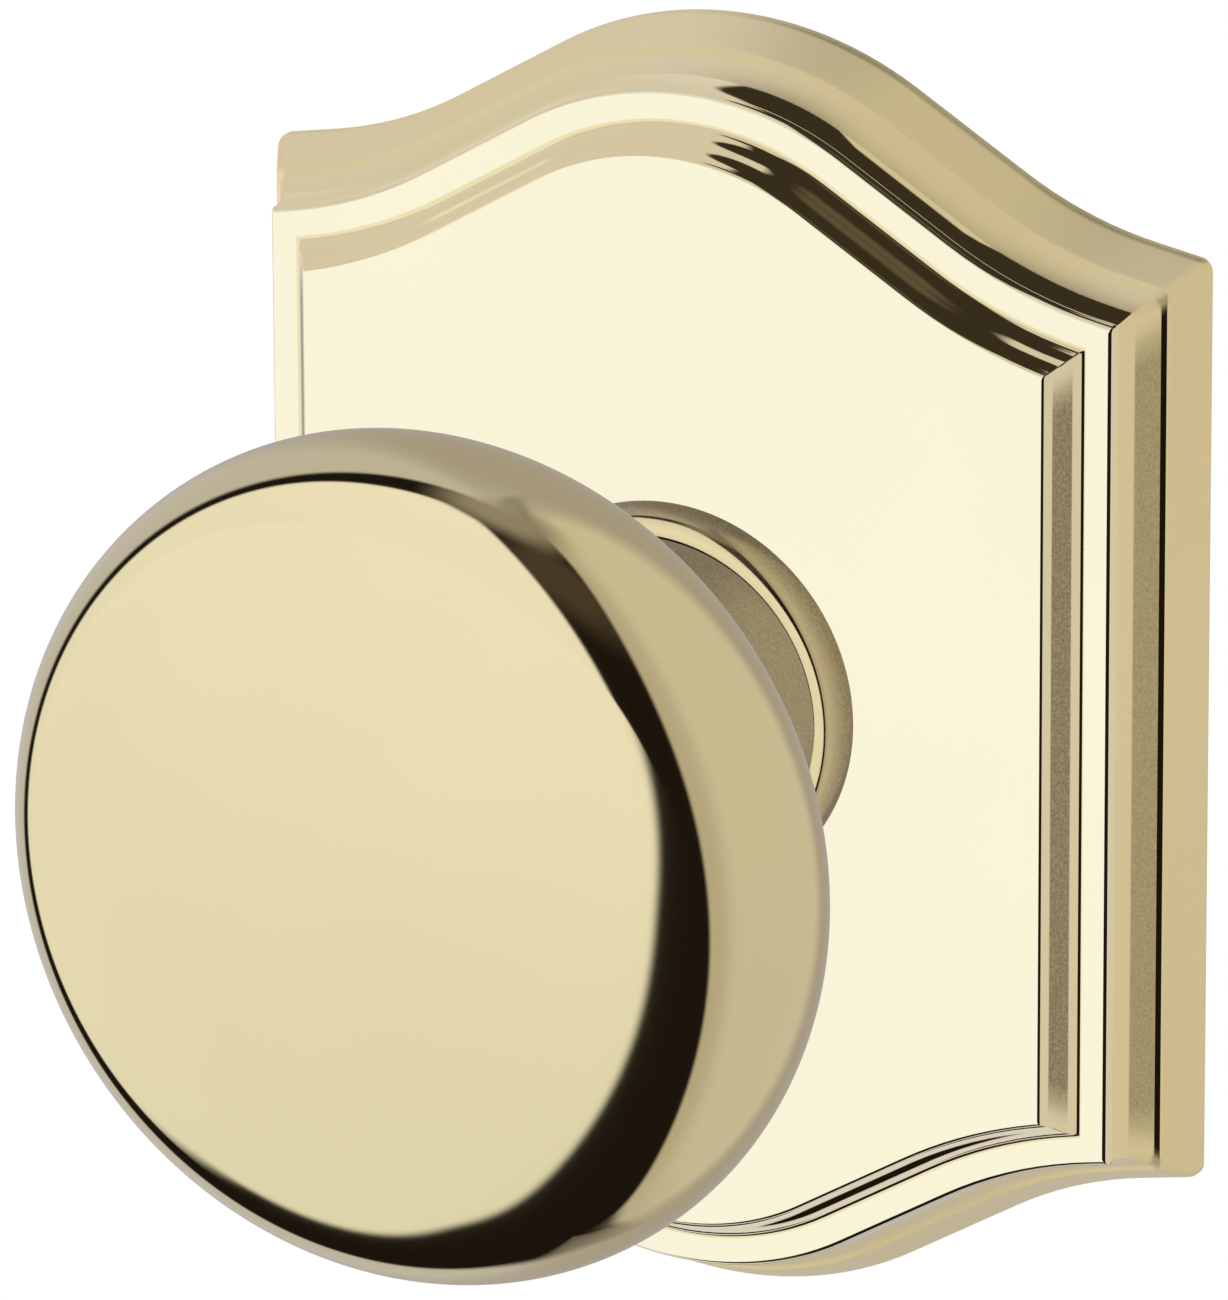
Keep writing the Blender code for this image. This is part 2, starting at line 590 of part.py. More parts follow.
def wave_ring(radius, height):
    lift, waves, count = 0.35, 3, 36
    angles = [2 * math.pi * i / count for i in range(count)]
    return [
        (radius * math.cos(a), radius * math.sin(a), height + lift * math.sin(waves * a)) for a in angles
    ]


def make_washers():
    bore = TAIL_RADIUS + 0.4
    thrust = ring_profile(bore, 11.4, CAGE_TOP + GAP, SHOULDER_HEIGHT - GAP)
    turned("thrust_washer", thrust, KNOB_TURN, "nylon")
    turned("flat_washer", ring_profile(bore, 11.2, -1.2, -0.6), KNOB_TURN, "zinc_plate")
    middle, half = -2.05, 0.2
    rings = [
        wave_ring(bore + 0.1, middle - half), wave_ring(10.8, middle - half),
        wave_ring(10.8, middle + half), wave_ring(bore + 0.1, middle + half),
    ]
    piece("wave_washer", lofted_mesh("wave_washer", rings), KNOB_TURN, "spring_steel")


def make_retaining_ring():
    """An open ring in the shank's groove, with an eye at each end for the pliers."""
    top, foot = GROOVE_TOP - GAP, GROOVE_TOP - GAP - 1.0
    inner, outer = GROOVE_RADIUS + GAP, 9.6
    ring = turned("retaining_ring", ring_profile(inner, outer, foot, top), KNOB_TURN, "spring_steel")
    opening = box_mesh("opening", (3.4, 8.0, 3.0), (0.0, -(outer - 2.0), (top + foot) / 2))
    combine(ring, guide("ring_opening", opening), "DIFFERENCE")
    for way in (-1, 1):
        eye = (way * 3.4, -(outer - 0.2))
        boss = rod_mesh("eye", 1.5, foot, top, eye, 16)
        combine(ring, guide("ring_eye", boss), "UNION")
        drill(ring, 0.6, foot - 1.0, top + 1.0, eye, 12)


def make_spindle():
    length = SPINDLE_TOP - SPINDLE_END
    mesh = box_mesh(
        "spindle", (SPINDLE_SIDE, SPINDLE_SIDE, length), (0.0, 0.0, (SPINDLE_TOP + SPINDLE_END) / 2)
    )
    soften(piece("spindle", mesh, KNOB_TURN, "steel"), 0.5)
    inner, outer = -(SPINDLE_SIDE / 2 + GAP), -SET_SCREW_END
    place = (0.0, SET_SCREW_HEIGHT)
    grub = rod_mesh("grub", SET_SCREW_RADIUS, outer, inner, place, along_y=True)
    screw = piece("spindle_set_screw", grub, KNOB_TURN, "steel")
    key = rod_mesh("key", 1.45, outer - 1.0, outer + 2.5, place, sides=6, along_y=True)
    combine(screw, guide("set_screw_key", key), "DIFFERENCE")


for old in list(bpy.data.objects):
    bpy.data.objects.remove(old)

PARTS = fresh_collection("door_knob")
CUTTERS = fresh_collection("cutters")
DOOR_FACE = empty("door_face", rotation=(math.radians(90.0), 0.0, 0.0))
KNOB_TURN = empty("knob_turn", DOOR_FACE)

make_rosette()
make_collar()
make_mounting_plate()
make_spring_cage()
make_bushes()
make_stops()
make_cage_rivets()
make_through_bolts()
make_rosette_clips()
make_return_spring()
make_knob_shell()
make_shank()
make_knob_core()
make_drive_hub()
make_washers()
make_retaining_ring()
make_spindle()
bpy.context.view_layer.update()
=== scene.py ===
"""The looks of a sprung door knob on an arched rosette: fine surfaces, materials, light and camera.

Shapes are drawn in millimetres, lying on their backs: (x, up, height), where height is the distance from
the door's face into the room. The row frame has the room at -Y and +Z up, so a drawn point lands at
(x, -height, up).
"""

import json
import math

import bmesh
import bpy
from mathutils import Matrix, Vector


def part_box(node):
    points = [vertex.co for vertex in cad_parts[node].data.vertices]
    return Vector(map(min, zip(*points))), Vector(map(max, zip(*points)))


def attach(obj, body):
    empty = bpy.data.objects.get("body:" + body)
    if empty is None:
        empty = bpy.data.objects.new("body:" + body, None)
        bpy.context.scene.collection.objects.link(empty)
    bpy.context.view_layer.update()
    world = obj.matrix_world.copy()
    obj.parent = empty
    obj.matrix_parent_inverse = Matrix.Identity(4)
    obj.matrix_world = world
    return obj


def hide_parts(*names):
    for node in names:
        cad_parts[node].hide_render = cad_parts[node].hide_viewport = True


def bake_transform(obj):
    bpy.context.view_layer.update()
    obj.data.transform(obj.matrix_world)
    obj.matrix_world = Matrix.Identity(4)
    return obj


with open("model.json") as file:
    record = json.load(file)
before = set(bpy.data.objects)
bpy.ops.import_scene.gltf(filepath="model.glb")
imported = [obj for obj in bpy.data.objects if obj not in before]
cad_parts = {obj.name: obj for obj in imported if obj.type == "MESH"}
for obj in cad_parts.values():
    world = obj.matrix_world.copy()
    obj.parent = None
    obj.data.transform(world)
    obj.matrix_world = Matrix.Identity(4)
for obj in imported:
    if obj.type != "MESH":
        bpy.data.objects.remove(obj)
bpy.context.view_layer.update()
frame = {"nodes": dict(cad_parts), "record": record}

MM = 0.001
FIXED, TURNING = "rose_assembly", "knob"
HALF_TURN = math.pi
TENT_LEAN = 0.08  # degrees of azimuth that the tents' upright edges lean for each degree of elevation


def reach(node):
    """A node's half width, half height and distance from the door, in millimetres."""
    low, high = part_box(node)
    return high.x / MM, high.z / MM, -low.y / MM


# ---------------------------------------------------------------- sizes, from the frame where it has them

ROSE_HALF_WIDTH, ROSE_HALF_HEIGHT, PANEL_HEIGHT = reach("rosette")
COLLAR_RADIUS, _, COLLAR_HEIGHT = reach("rose_collar")
KNOB_RADIUS = reach("knob_shell")[0]
SPINDLE_HALF, _, SPINDLE_TOP = reach("spindle")
SPINDLE_END = -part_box("spindle")[1].y / MM

# The rosette's outline: a crown arc, a straight flank, a hollow arc and a straight end.
CROWN_RADIUS = 25.5
FLANK_SLOPE, FLANK_LENGTH = math.radians(31.0), 9.15
HOLLOW_RADIUS = 28.1
END_SLOPE = math.radians(10.3)
CORNER_RADIUS, MITRE_RADIUS = 0.95, 0.12
LEAST_END = 0.3
HOLLOW_STEPS, CORNER_STEPS = 9, 5
END_SHARES = (0.35, 0.7, 0.95)  # points along the straight end, as shares of its length
SIDE_SHARES = (0.99, 0.965, 0.93, 0.88, 0.8, 0.5, 0.25, 0.0)  # and up a side, from its middle

# The rosette's section: a steep slope, a narrow ledge, a hollow wall, a flat band, a cove and the panel.
FOOT_HEIGHT, FOOT_ROUND = 0.5, 1.2
LEDGE = (1.45, 3.72)  # where the slope ends
LEDGE_WIDTH, LEDGE_ROUND, LEDGE_HOLLOW = 0.3, 0.35, 1.0
SLOPE_TILT, LEDGE_TILT, HOLLOW_TILT, WALL_TILT, STEP_TILT = [
    math.radians(d) for d in (64.0, 31.0, 55.0, 84.0, 70.0)
]
BAND_OUTER, BAND_INNER, BAND_HEIGHT = 3.9, 5.3, 8.3
PANEL_EDGE = 7.45
BAND_ROUND, COVE_ROUND, PANEL_ROUND = 0.6, 0.5, 0.45
ROSE_WALL, RIM_WALL_HEIGHT = 1.6, 2.0
PANEL_REAR, BAND_REAR = 1.15, 1.5  # how far in from their edges the panel's and band's rear sides turn
COLLAR_LAP = 0.7  # how far the panel reaches under the collar
# how strong the brown painted shade is in the hollow below the ledge, and how it fades out towards a corner
LEDGE_SHADE, SHADE_FADE = 0.72, (0.0, 0.15, 0.6)

# The collar round the neck.
CREST_RADIUS, CREST_WIDTH, CREST_DROP, CREST_STEPS = 12.3, 0.15, 0.02, 16
COLLAR_PLAY, COLLAR_SUNK = 0.08, 1.0
LIP_DEPTH, LIP_CHAMFER = 0.28, (0.1, 0.2)
# how strong the brown painted shade on the collar is at its outer edge
COLLAR_SHADE = 0.95

# The knob's section, by the tilt of its surface from the face.
KNOB_HEIGHT = 46.9
FRONT_ROUND, BACK_ROUND, BACK_RADIUS = 8.8, 7.5, 28.0
FACE_TILT, BACK_TILT, THROAT_TILT = math.radians(28.0), math.radians(125.0), math.radians(160.0)
NECK_RADIUS, WAIST_RADIUS, WAIST_HEIGHT = 11.7, 11.0, 23.0
THROAT_RADIUS, THROAT_HEIGHT = 13.2, 32.3
THROAT_STEPS, WAIST_STEPS, THROAT_POWER = 24, 12, 3.5
# how strong the brown painted shade on the neck is
NECK_SHADE = 0.76
SHELL_WALL, HEAD_STEPS = 1.2, 256

# What holds and turns the knob, mostly behind the door's face.
STUB_TOP, FLANGE_TOP, TAIL_TOP, TAIL_END = 46.5, 36.2, 9.2, -6.0
TAIL_RADIUS, TAIL_CHAMFER = 8.0, 0.4
GROOVE_RADIUS, GROOVE_TOP, GROOVE_FOOT = 7.1, -2.6, -4.2
PLATE_INSET, PLATE_THICKNESS, PLATE_EDGE = 1.9, 1.5, 0.15
BUSH_RADIUS, WASHER_EDGE, WASHER_STEPS = 9.7, 0.12, 96
GAP = 0.3  # left between a hole and what stands in it
CUT = 1.0  # how far a cutting shape reaches past what it cuts
BOLT_OFFSET, BOLT_RADIUS, BOLT_END, BOLT_SEAT, BOLT_STEPS = 19.05, 2.0, -45.0, 1.8, 32
BOLT_HEAD, HEAD_WALL, HEAD_DOME = 3.9, 0.9, 1.7
SLOT_DEPTH, SLOT_WIDTH = 1.4, 1.0
THREAD_PITCH, THREAD_DEPTH, THREAD_TOP, THREAD_STEPS = 0.7, 0.36, -14.0, 8
POINT_TAPER, POINT_LENGTH = 0.5, 0.8
SPARE_HOLE_RADIUS, SPARE_HOLE = 3.5, (19.0, 23.0)
CAGE_RIVET, SIDE_CLIP, END_CLIP = (17.4, 1.3), (24.5, 1.0), (34.2, 1.0)  # distance out, and radius
SPINDLE_EDGE, SPINDLE_TIP, SPINDLE_TAPER = 0.5, 0.7, 0.6
SET_SCREW_RADIUS, SET_SCREW_HEIGHT, SET_SCREW_END = 2.5, 22.0, 10.4
SET_SCREW_HOLE = (9.0, 14.0)  # from inside the neck's wall to outside it
KEY_RADIUS, KEY_DEPTH = 1.45, 2.5
WAVE_INNER, WAVE_OUTER, WAVE_HEIGHT, WAVE_SWING, WAVES = 8.5, 10.8, -2.05, 0.35, 3
CLIP_INNER, CLIP_OUTER, CLIP_FOOT, CLIP_TOP = 7.4, 9.6, -3.9, -2.9
CLIP_OPENING, EYE_OFFSET, EYE_RADIUS, PIN_HOLE = 1.7, 3.4, 1.5, 0.6
WIRE_RADIUS, COIL_RADIUS, LEG_RADIUS, LEG_ANGLE = 0.45, 10.9, 12.55, math.radians(12.4)
COIL_TOP, COIL_FOOT, LEG_FOOT, COIL_STEPS = 6.4, 4.5, 2.3, 160

TURN_STEPS = 192
FINE_STEP = math.radians(2.5)
SHARP_EDGE = math.radians(35.0)
FLAT_FACE = 0.999  # a face whose normal is this near the knob's axis is shaded flat
SHADE_TINT = (0.34, 0.31, 0.27)  # what is left of the brass's colour under full painted shade: a darker brown
FLOOR_HEIGHT = -0.6


# ---------------------------------------------------------------- mesh tools


def marked(mesh, **marks):
    """Gives every vertex the same value of each named mark."""
    for name, value in marks.items():
        layer = mesh.attributes.new(name, "FLOAT", "POINT")
        layer.data.foreach_set("value", [value] * len(mesh.vertices))
    return mesh


def place(x, up, height):
    return Vector((x, -height, up)) * MM


def linked(name, data):
    """A new object in the scene."""
    item = bpy.data.objects.new(name, data)
    bpy.context.scene.collection.objects.link(item)
    return item


def shown_object(name, mesh, body, slot, replaced=()):
    """A fine piece. It shows in no reflection, because the brass would mirror what the rosette hides."""
    item = linked(name, mesh)
    mesh.materials.append(MATERIALS[slot])
    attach(item, body)
    item.visible_glossy = False
    if replaced:
        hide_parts(*replaced)


def finished_mesh(name, bm):
    bmesh.ops.recalc_face_normals(bm, faces=bm.faces)
    mesh = bpy.data.meshes.new(name)
    bm.to_mesh(mesh)
    bm.free()
    mesh.shade_smooth()
    mesh.set_sharp_from_angle(angle=SHARP_EDGE)
    return mesh


def circle_angles(steps):
    return [2 * HALF_TURN * i / steps for i in range(steps)]


def bridge(bm, lower, upper):
    count = len(lower)
    for i in range(count):
        j = (i + 1) % count
        bm.faces.new((lower[i], lower[j], upper[j], upper[i]))


def turned_mesh(name, profile, steps=TURN_STEPS):
    """Turns (radius, height) points about the knob's axis. Points on the axis become one vertex."""
    bm = bmesh.new()
    rings = []
    for radius, height in profile:
        if radius == 0.0:
            rings.append([bm.verts.new(place(0.0, 0.0, height))])
            continue
        spots = [(radius * math.cos(a), radius * math.sin(a), height) for a in circle_angles(steps)]
        rings.append([bm.verts.new(place(*spot)) for spot in spots])
    pairs = list(zip(rings, rings[1:]))
    if len(rings[0]) > 1:
        pairs.append((rings[-1], rings[0]))
    for a, b in pairs:
        if len(a) == 1 or len(b) == 1:
            tip, ring = (a[0], b) if len(a) == 1 else (b[0], a)
            for i in range(steps):
                bm.faces.new((tip, ring[i], ring[(i + 1) % steps]))
        else:
            bridge(bm, a, b)
    return finished_mesh(name, bm)


def even_arc(centre, radius, start, end, count):
    """Points round an arc, angles from local +Z towards the outside, both ends included."""
    angles = [start + (end - start) * i / count for i in range(count + 1)]
    return [(centre[0] + radius * math.sin(a), centre[1] + radius * math.cos(a)) for a in angles]


def arc(centre, radius, start, end):
    return even_arc(centre, radius, start, end, max(2, math.ceil(abs(end - start) / FINE_STEP)))


def bend(points, radius, tilt_from, tilt_to, steps=12):
    """Carries a section on round an arc. Tilt is the surface's angle from facing the room."""
    x, y = points[-1]
    for i in range(1, steps + 1):
        tilt = tilt_from + (tilt_to - tilt_from) * i / steps
        points.append((
            x + radius * abs(math.sin(tilt) - math.sin(tilt_from)),
            y + radius * abs(math.cos(tilt) - math.cos(tilt_from)),
        ))


def lofted_mesh(name, rings):
    """A closed solid through rings of points, capped at both ends."""
    bm = bmesh.new()
    loops = [[bm.verts.new(place(*spot)) for spot in ring] for ring in rings]
    for lower, upper in zip(loops, loops[1:]):
        bridge(bm, lower, upper)
    bm.faces.new(loops[0])
    bm.faces.new(loops[-1])
    return finished_mesh(name, bm)


def box_mesh(name, low, high):
    corners = [(low[0], low[1]), (high[0], low[1]), (high[0], high[1]), (low[0], high[1])]
    return lofted_mesh(name, [[(*corner, height) for corner in corners] for height in (low[2], high[2])])


def ring_mesh(name, inner, outer, foot, top):
    """A washer or bush with its edges taken off."""
    edge = WASHER_EDGE
    profile = [(inner + edge, foot), (outer - edge, foot), (outer, foot + edge), (outer, top - edge)]
    profile += [(outer - edge, top), (inner + edge, top), (inner, top - edge), (inner, foot + edge)]
    return turned_mesh(name, profile, WASHER_STEPS)


def rod_mesh(name, radius, foot, top, centre=(0.0, 0.0), steps=48):
    mesh = turned_mesh(name, [(0.0, foot), (radius, foot), (radius, top), (0.0, top)], steps)
    mesh.transform(Matrix.Translation(place(*centre, 0.0)))
    return mesh


def stood_up(mesh, height):
    """Turns a mesh drawn along the knob's axis to hang straight down from it, at some height."""
    mesh.transform(Matrix.Translation(place(0.0, 0.0, height)) @ Matrix.Rotation(HALF_TURN / 2, 4, "X"))
    return mesh


def joined_mesh(name, meshes):
    bm = bmesh.new()
    for mesh in meshes:
        bm.from_mesh(mesh)
    return finished_mesh(name, bm)


def evaluated_mesh(item):
    return bpy.data.meshes.new_from_object(item.evaluated_get(bpy.context.evaluated_depsgraph_get()))


def carved(mesh, removed=(), added=()):
    """A copy of the mesh with some meshes joined to it, then others cut out of it."""
    item = linked(mesh.name, mesh)
    tools = []
    for operation, meshes in (("UNION", added), ("DIFFERENCE", removed)):
        for shape in meshes:
            tools.append(linked(f"{mesh.name}_tool", shape))
            step = item.modifiers.new(operation.lower(), "BOOLEAN")
            step.operation, step.object, step.solver = operation, tools[-1], "EXACT"
    made = evaluated_mesh(item)
    for used in [item, *tools]:
        bpy.data.objects.remove(used)
    made.name = mesh.name
    made.shade_smooth()
    made.set_sharp_from_angle(angle=SHARP_EDGE)
    for face in made.polygons:
        face.use_smooth = abs(face.normal.y) < FLAT_FACE
    return made


# ---------------------------------------------------------------- rosette


def corner_radius(inset):
    """The corner is round at the rim and runs to a crisp mitre at the band."""
    return max(MITRE_RADIUS, CORNER_RADIUS * (1.0 - (inset / BAND_OUTER) ** 2))


def outline_quarter(inset):
    """The outline's upper right quarter, from its top to the middle of the side, inset from the rim."""
    crown = (0.0, ROSE_HALF_HEIGHT - CROWN_RADIUS)
    across, up = math.cos(FLANK_SLOPE), math.sin(FLANK_SLOPE)
    flank_x = CROWN_RADIUS * up + FLANK_LENGTH * across
    flank_y = crown[1] + CROWN_RADIUS * across - FLANK_LENGTH * up
    hollow = (flank_x + HOLLOW_RADIUS * up, flank_y + HOLLOW_RADIUS * across)
    side, radius = ROSE_HALF_WIDTH - inset, corner_radius(inset)
    corner_x = side - radius
    sweep_radius = HOLLOW_RADIUS + inset
    end_slope = max(END_SLOPE, math.asin((hollow[0] - corner_x + LEAST_END) / sweep_radius))
    points = arc(crown, CROWN_RADIUS - inset, 0.0, FLANK_SLOPE)
    points += even_arc(hollow, sweep_radius, HALF_TURN + FLANK_SLOPE, HALF_TURN + end_slope, HOLLOW_STEPS)
    end_x, end_y = points[-1]
    drop = math.tan(end_slope)
    corner_y = end_y - (corner_x - end_x) * drop - radius / math.cos(end_slope)
    straight = corner_x + radius * math.sin(end_slope) - end_x
    points += [(end_x + straight * share, end_y - straight * share * drop) for share in END_SHARES]
    points += even_arc((corner_x, corner_y), radius, end_slope, HALF_TURN / 2, CORNER_STEPS)
    return points + [(side, corner_y * share) for share in SIDE_SHARES]


def all_round(quarter, mirrored):
    """A quarter's values, repeated for the other three. mirrored gives a value's image across an axis."""
    half = quarter + [mirrored(value, 1, -1) for value in reversed(quarter[:-1])]
    return half + [mirrored(value, -1, 1) for value in reversed(half[1:-1])]


def outline(inset):
    return all_round(outline_quarter(inset), lambda p, across, up: (p[0] * across, p[1] * up))


def side_marks(fade):
    """For each outline point, 1 along the upright sides and 0 elsewhere. fade is the marks near a corner."""
    quarter = [0.0] * (len(outline_quarter(0.0)) - len(SIDE_SHARES))
    quarter += list(fade) + [1.0] * (len(SIDE_SHARES) - len(fade))
    return all_round(quarter, lambda mark, across, up: mark)


def fillet(radius, tilt):
    """How far in and how far up an edge's rounding reaches, from flat to the given tilt."""
    return radius * math.sin(tilt), radius * (1.0 - math.cos(tilt))


def run_to(points, goal, tilt, steps):
    """One arc from the last point to the goal that starts at the given tilt. Gives its tilt at the goal."""
    run, rise = goal[0] - points[-1][0], goal[1] - points[-1][1]
    end = 2 * math.atan2(rise, run) - tilt
    bend(points, run / abs(math.sin(end) - math.sin(tilt)), tilt, end, steps)
    return end


def moulding_section():
    """(inset, height, painted light, satin, painted shade) up the rosette's front, and how many of them lie
    below the band.

    The painted light mark lies on the band and the panel, which get a paler copy of the brass as painted
    light. The satin mark lies on the slope and the ledge, which a wheel reaches less well. The painted shade
    mark lies in the hollows, which a brown painted shade darkens on the upright sides.
    """
    points, marks = [], []

    def mark(count=None, flat=0.0, satin=0.0, dull=0.0):
        """Marks so many of the points that have no marks yet, or all of them."""
        marks.extend([(flat, satin, dull)] * (count or len(points) - len(marks)))

    points += [(0.1, 0.0), (0.0, 0.1), (0.0, FOOT_HEIGHT / 2), (0.0, FOOT_HEIGHT)]
    bend(points, FOOT_ROUND, HALF_TURN / 2, SLOPE_TILT)
    slope_end = run_to(points, LEDGE, SLOPE_TILT, 8)
    mark(satin=1.0)
    bend(points, LEDGE_ROUND, slope_end, LEDGE_TILT, 8)
    inset, height = points[-1]
    points.append((inset + LEDGE_WIDTH * math.cos(LEDGE_TILT), height + LEDGE_WIDTH * math.sin(LEDGE_TILT)))
    mark(satin=0.5)
    bend(points, LEDGE_HOLLOW, LEDGE_TILT, HOLLOW_TILT, 8)
    inward, upward = fillet(BAND_ROUND, WALL_TILT)
    wall = run_to(points, (BAND_OUTER - inward, BAND_HEIGHT - upward), HOLLOW_TILT, 20)
    mark(17, satin=0.5, dull=LEDGE_SHADE)  # painted shade on the hollow and the lower half of the wall
    mark()
    below_band = len(points)
    bend(points, BAND_ROUND, wall, 0.0, 10)
    mark(5)  # the painted light starts half way round the band's edge
    points += [(BAND_OUTER + 0.1, BAND_HEIGHT), (BAND_INNER - 0.1, BAND_HEIGHT), (BAND_INNER, BAND_HEIGHT)]
    mark(flat=1.0)
    bend(points, COVE_ROUND, 0.0, STEP_TILT, 6)
    inward, upward = fillet(PANEL_ROUND, STEP_TILT)
    start, end = points[-1], (PANEL_EDGE - inward, PANEL_HEIGHT - upward)
    flattest = run_to(points, ((start[0] + end[0]) / 2, (start[1] + end[1]) / 2), STEP_TILT, 12)
    run_to(points, end, flattest, 12)
    bend(points, PANEL_ROUND, STEP_TILT, 0.0, 10)
    mark(10)
    mark(15, dull=1.0)  # painted shade on the step's flatter middle
    mark(10)
    points += [(PANEL_EDGE + 0.1, PANEL_HEIGHT), (PANEL_EDGE + 1.5, PANEL_HEIGHT)]
    mark(flat=1.0)
    return [(*point, *values) for point, values in zip(points, marks)], below_band


def add_rosette():
    """Two pieces that meet at the band's outer edge, so that each can have its own light."""
    section, below_band = moulding_section()
    under, band_under = PANEL_HEIGHT - ROSE_WALL, BAND_HEIGHT - ROSE_WALL
    foot = (ROSE_WALL, RIM_WALL_HEIGHT)
    share = (BAND_OUTER - foot[0]) / (BAND_INNER - foot[0])
    join = (BAND_OUTER, foot[1] + (band_under - foot[1]) * share)
    hole = COLLAR_RADIUS - COLLAR_LAP
    angles = [math.atan2(y, x) for x, y in outline(PANEL_EDGE)]
    circle = [(hole * math.cos(a), hole * math.sin(a)) for a in angles]
    # the painted shade lies only along the upright sides and fades out near the corners
    uprights, shade_amount = side_marks((0.5,)), side_marks(SHADE_FADE)

    def piece(name, rings, replaced=()):
        """Where satin is less than 1, as on the ledge, it fades out on the upright sides."""
        bm = bmesh.new()
        # masks for the painted light, the satin and the painted shade
        masks = [bm.verts.layers.float.new(mask) for mask in ("flat", "satin", "dull")]
        loops = []
        for spots, height, *marks in rings:
            flat, satin, dull = marks or (0.0, 0.0, 0.0)
            loop = [bm.verts.new(place(x, y, height)) for x, y in spots]
            for vert, upright, shaded_side in zip(loop, uprights, shade_amount):
                polished = satin if satin == 1.0 else satin * 2 * (1.0 - upright)
                for mask, mark in zip(masks, (flat, polished, dull * shaded_side)):
                    vert[mask] = mark
            loops.append(loop)
        for lower, upper in zip(loops, loops[1:] + loops[:1]):
            bridge(bm, lower, upper)
        shown_object(name, finished_mesh(name, bm), FIXED, "polished_brass", replaced)

    def rings_at(points):
        return [(outline(inset), *rest) for inset, *rest in points]

    piece("rosette_moulding", rings_at(section[:below_band] + [join, foot, (ROSE_WALL, 0.0)]))
    face = rings_at(section[below_band - 1:]) + [(circle, PANEL_HEIGHT, 1.0, 0.0, 0.0), (circle, under)]
    inside = [(PANEL_EDGE + PANEL_REAR, under), (BAND_INNER + BAND_REAR, band_under)]
    inside += [(BAND_INNER, band_under), join]
    piece("rosette_face", face + rings_at(inside), ["rosette"])


def add_collar():
    """A convex ring with a thin lip round the neck. Its outside is darkened by a brown painted shade, most
    at its outer edge.
    """
    bore = NECK_RADIUS + COLLAR_PLAY
    swell = COLLAR_RADIUS - CREST_RADIUS
    rise = COLLAR_HEIGHT - PANEL_HEIGHT
    profile = [(bore, PANEL_HEIGHT - COLLAR_SUNK), (bore, COLLAR_HEIGHT - LIP_DEPTH)]
    profile += [(bore + LIP_CHAMFER[0], COLLAR_HEIGHT - LIP_CHAMFER[1])]
    profile += [(CREST_RADIUS - CREST_WIDTH, COLLAR_HEIGHT - CREST_DROP)]
    for i in range(CREST_STEPS + 1):
        angle = HALF_TURN / 2 * i / CREST_STEPS
        profile.append((CREST_RADIUS + swell * math.sin(angle), PANEL_HEIGHT + rise * math.cos(angle)))
    profile += [(COLLAR_RADIUS, PANEL_HEIGHT - COLLAR_SUNK)]
    mesh = marked(turned_mesh("rose_collar_fine", profile), satin=0.2)
    shares = [(math.hypot(v.co.x, v.co.z) / MM - CREST_RADIUS) / swell for v in mesh.vertices]
    # painted shade, from none at the crest to most at the collar's outer edge
    layer = mesh.attributes.new("dull", "FLOAT", "POINT")
    layer.data.foreach_set("value", [COLLAR_SHADE * min(max(share, 0.0), 1.0) ** 2 for share in shares])
    shown_object("rose_collar_fine", mesh, FIXED, "polished_brass", ["rose_collar"])


# ---------------------------------------------------------------- knob


def knob_surface(inset=0.0):
    """The head's section, from the middle of its face round to the neck, some way inside its surface."""
    front = (KNOB_RADIUS - FRONT_ROUND, KNOB_HEIGHT)
    back = (KNOB_RADIUS - BACK_ROUND, KNOB_HEIGHT)
    face_radius = front[0] / math.sin(FACE_TILT) + FRONT_ROUND
    face = (0.0, KNOB_HEIGHT - (face_radius - FRONT_ROUND) * math.cos(FACE_TILT))
    shoulder = (
        back[0] - (BACK_RADIUS - BACK_ROUND) * math.sin(BACK_TILT),
        back[1] - (BACK_RADIUS - BACK_ROUND) * math.cos(BACK_TILT),
    )
    points = arc(face, face_radius - inset, 0.0, FACE_TILT)
    points += arc(front, FRONT_ROUND - inset, FACE_TILT, HALF_TURN / 2)[1:]
    points += arc(back, BACK_ROUND - inset, HALF_TURN / 2, BACK_TILT)[1:]
    points += arc(shoulder, BACK_RADIUS - inset, BACK_TILT, THROAT_TILT)[1:]
    return points


def add_knob_head():
    outer, inner = knob_surface(), knob_surface(SHELL_WALL)
    mesh = turned_mesh("knob_head", outer + inner[::-1], HEAD_STEPS)
    shown_object("knob_head", mesh, TURNING, "knob_brass", ["knob_shell"])


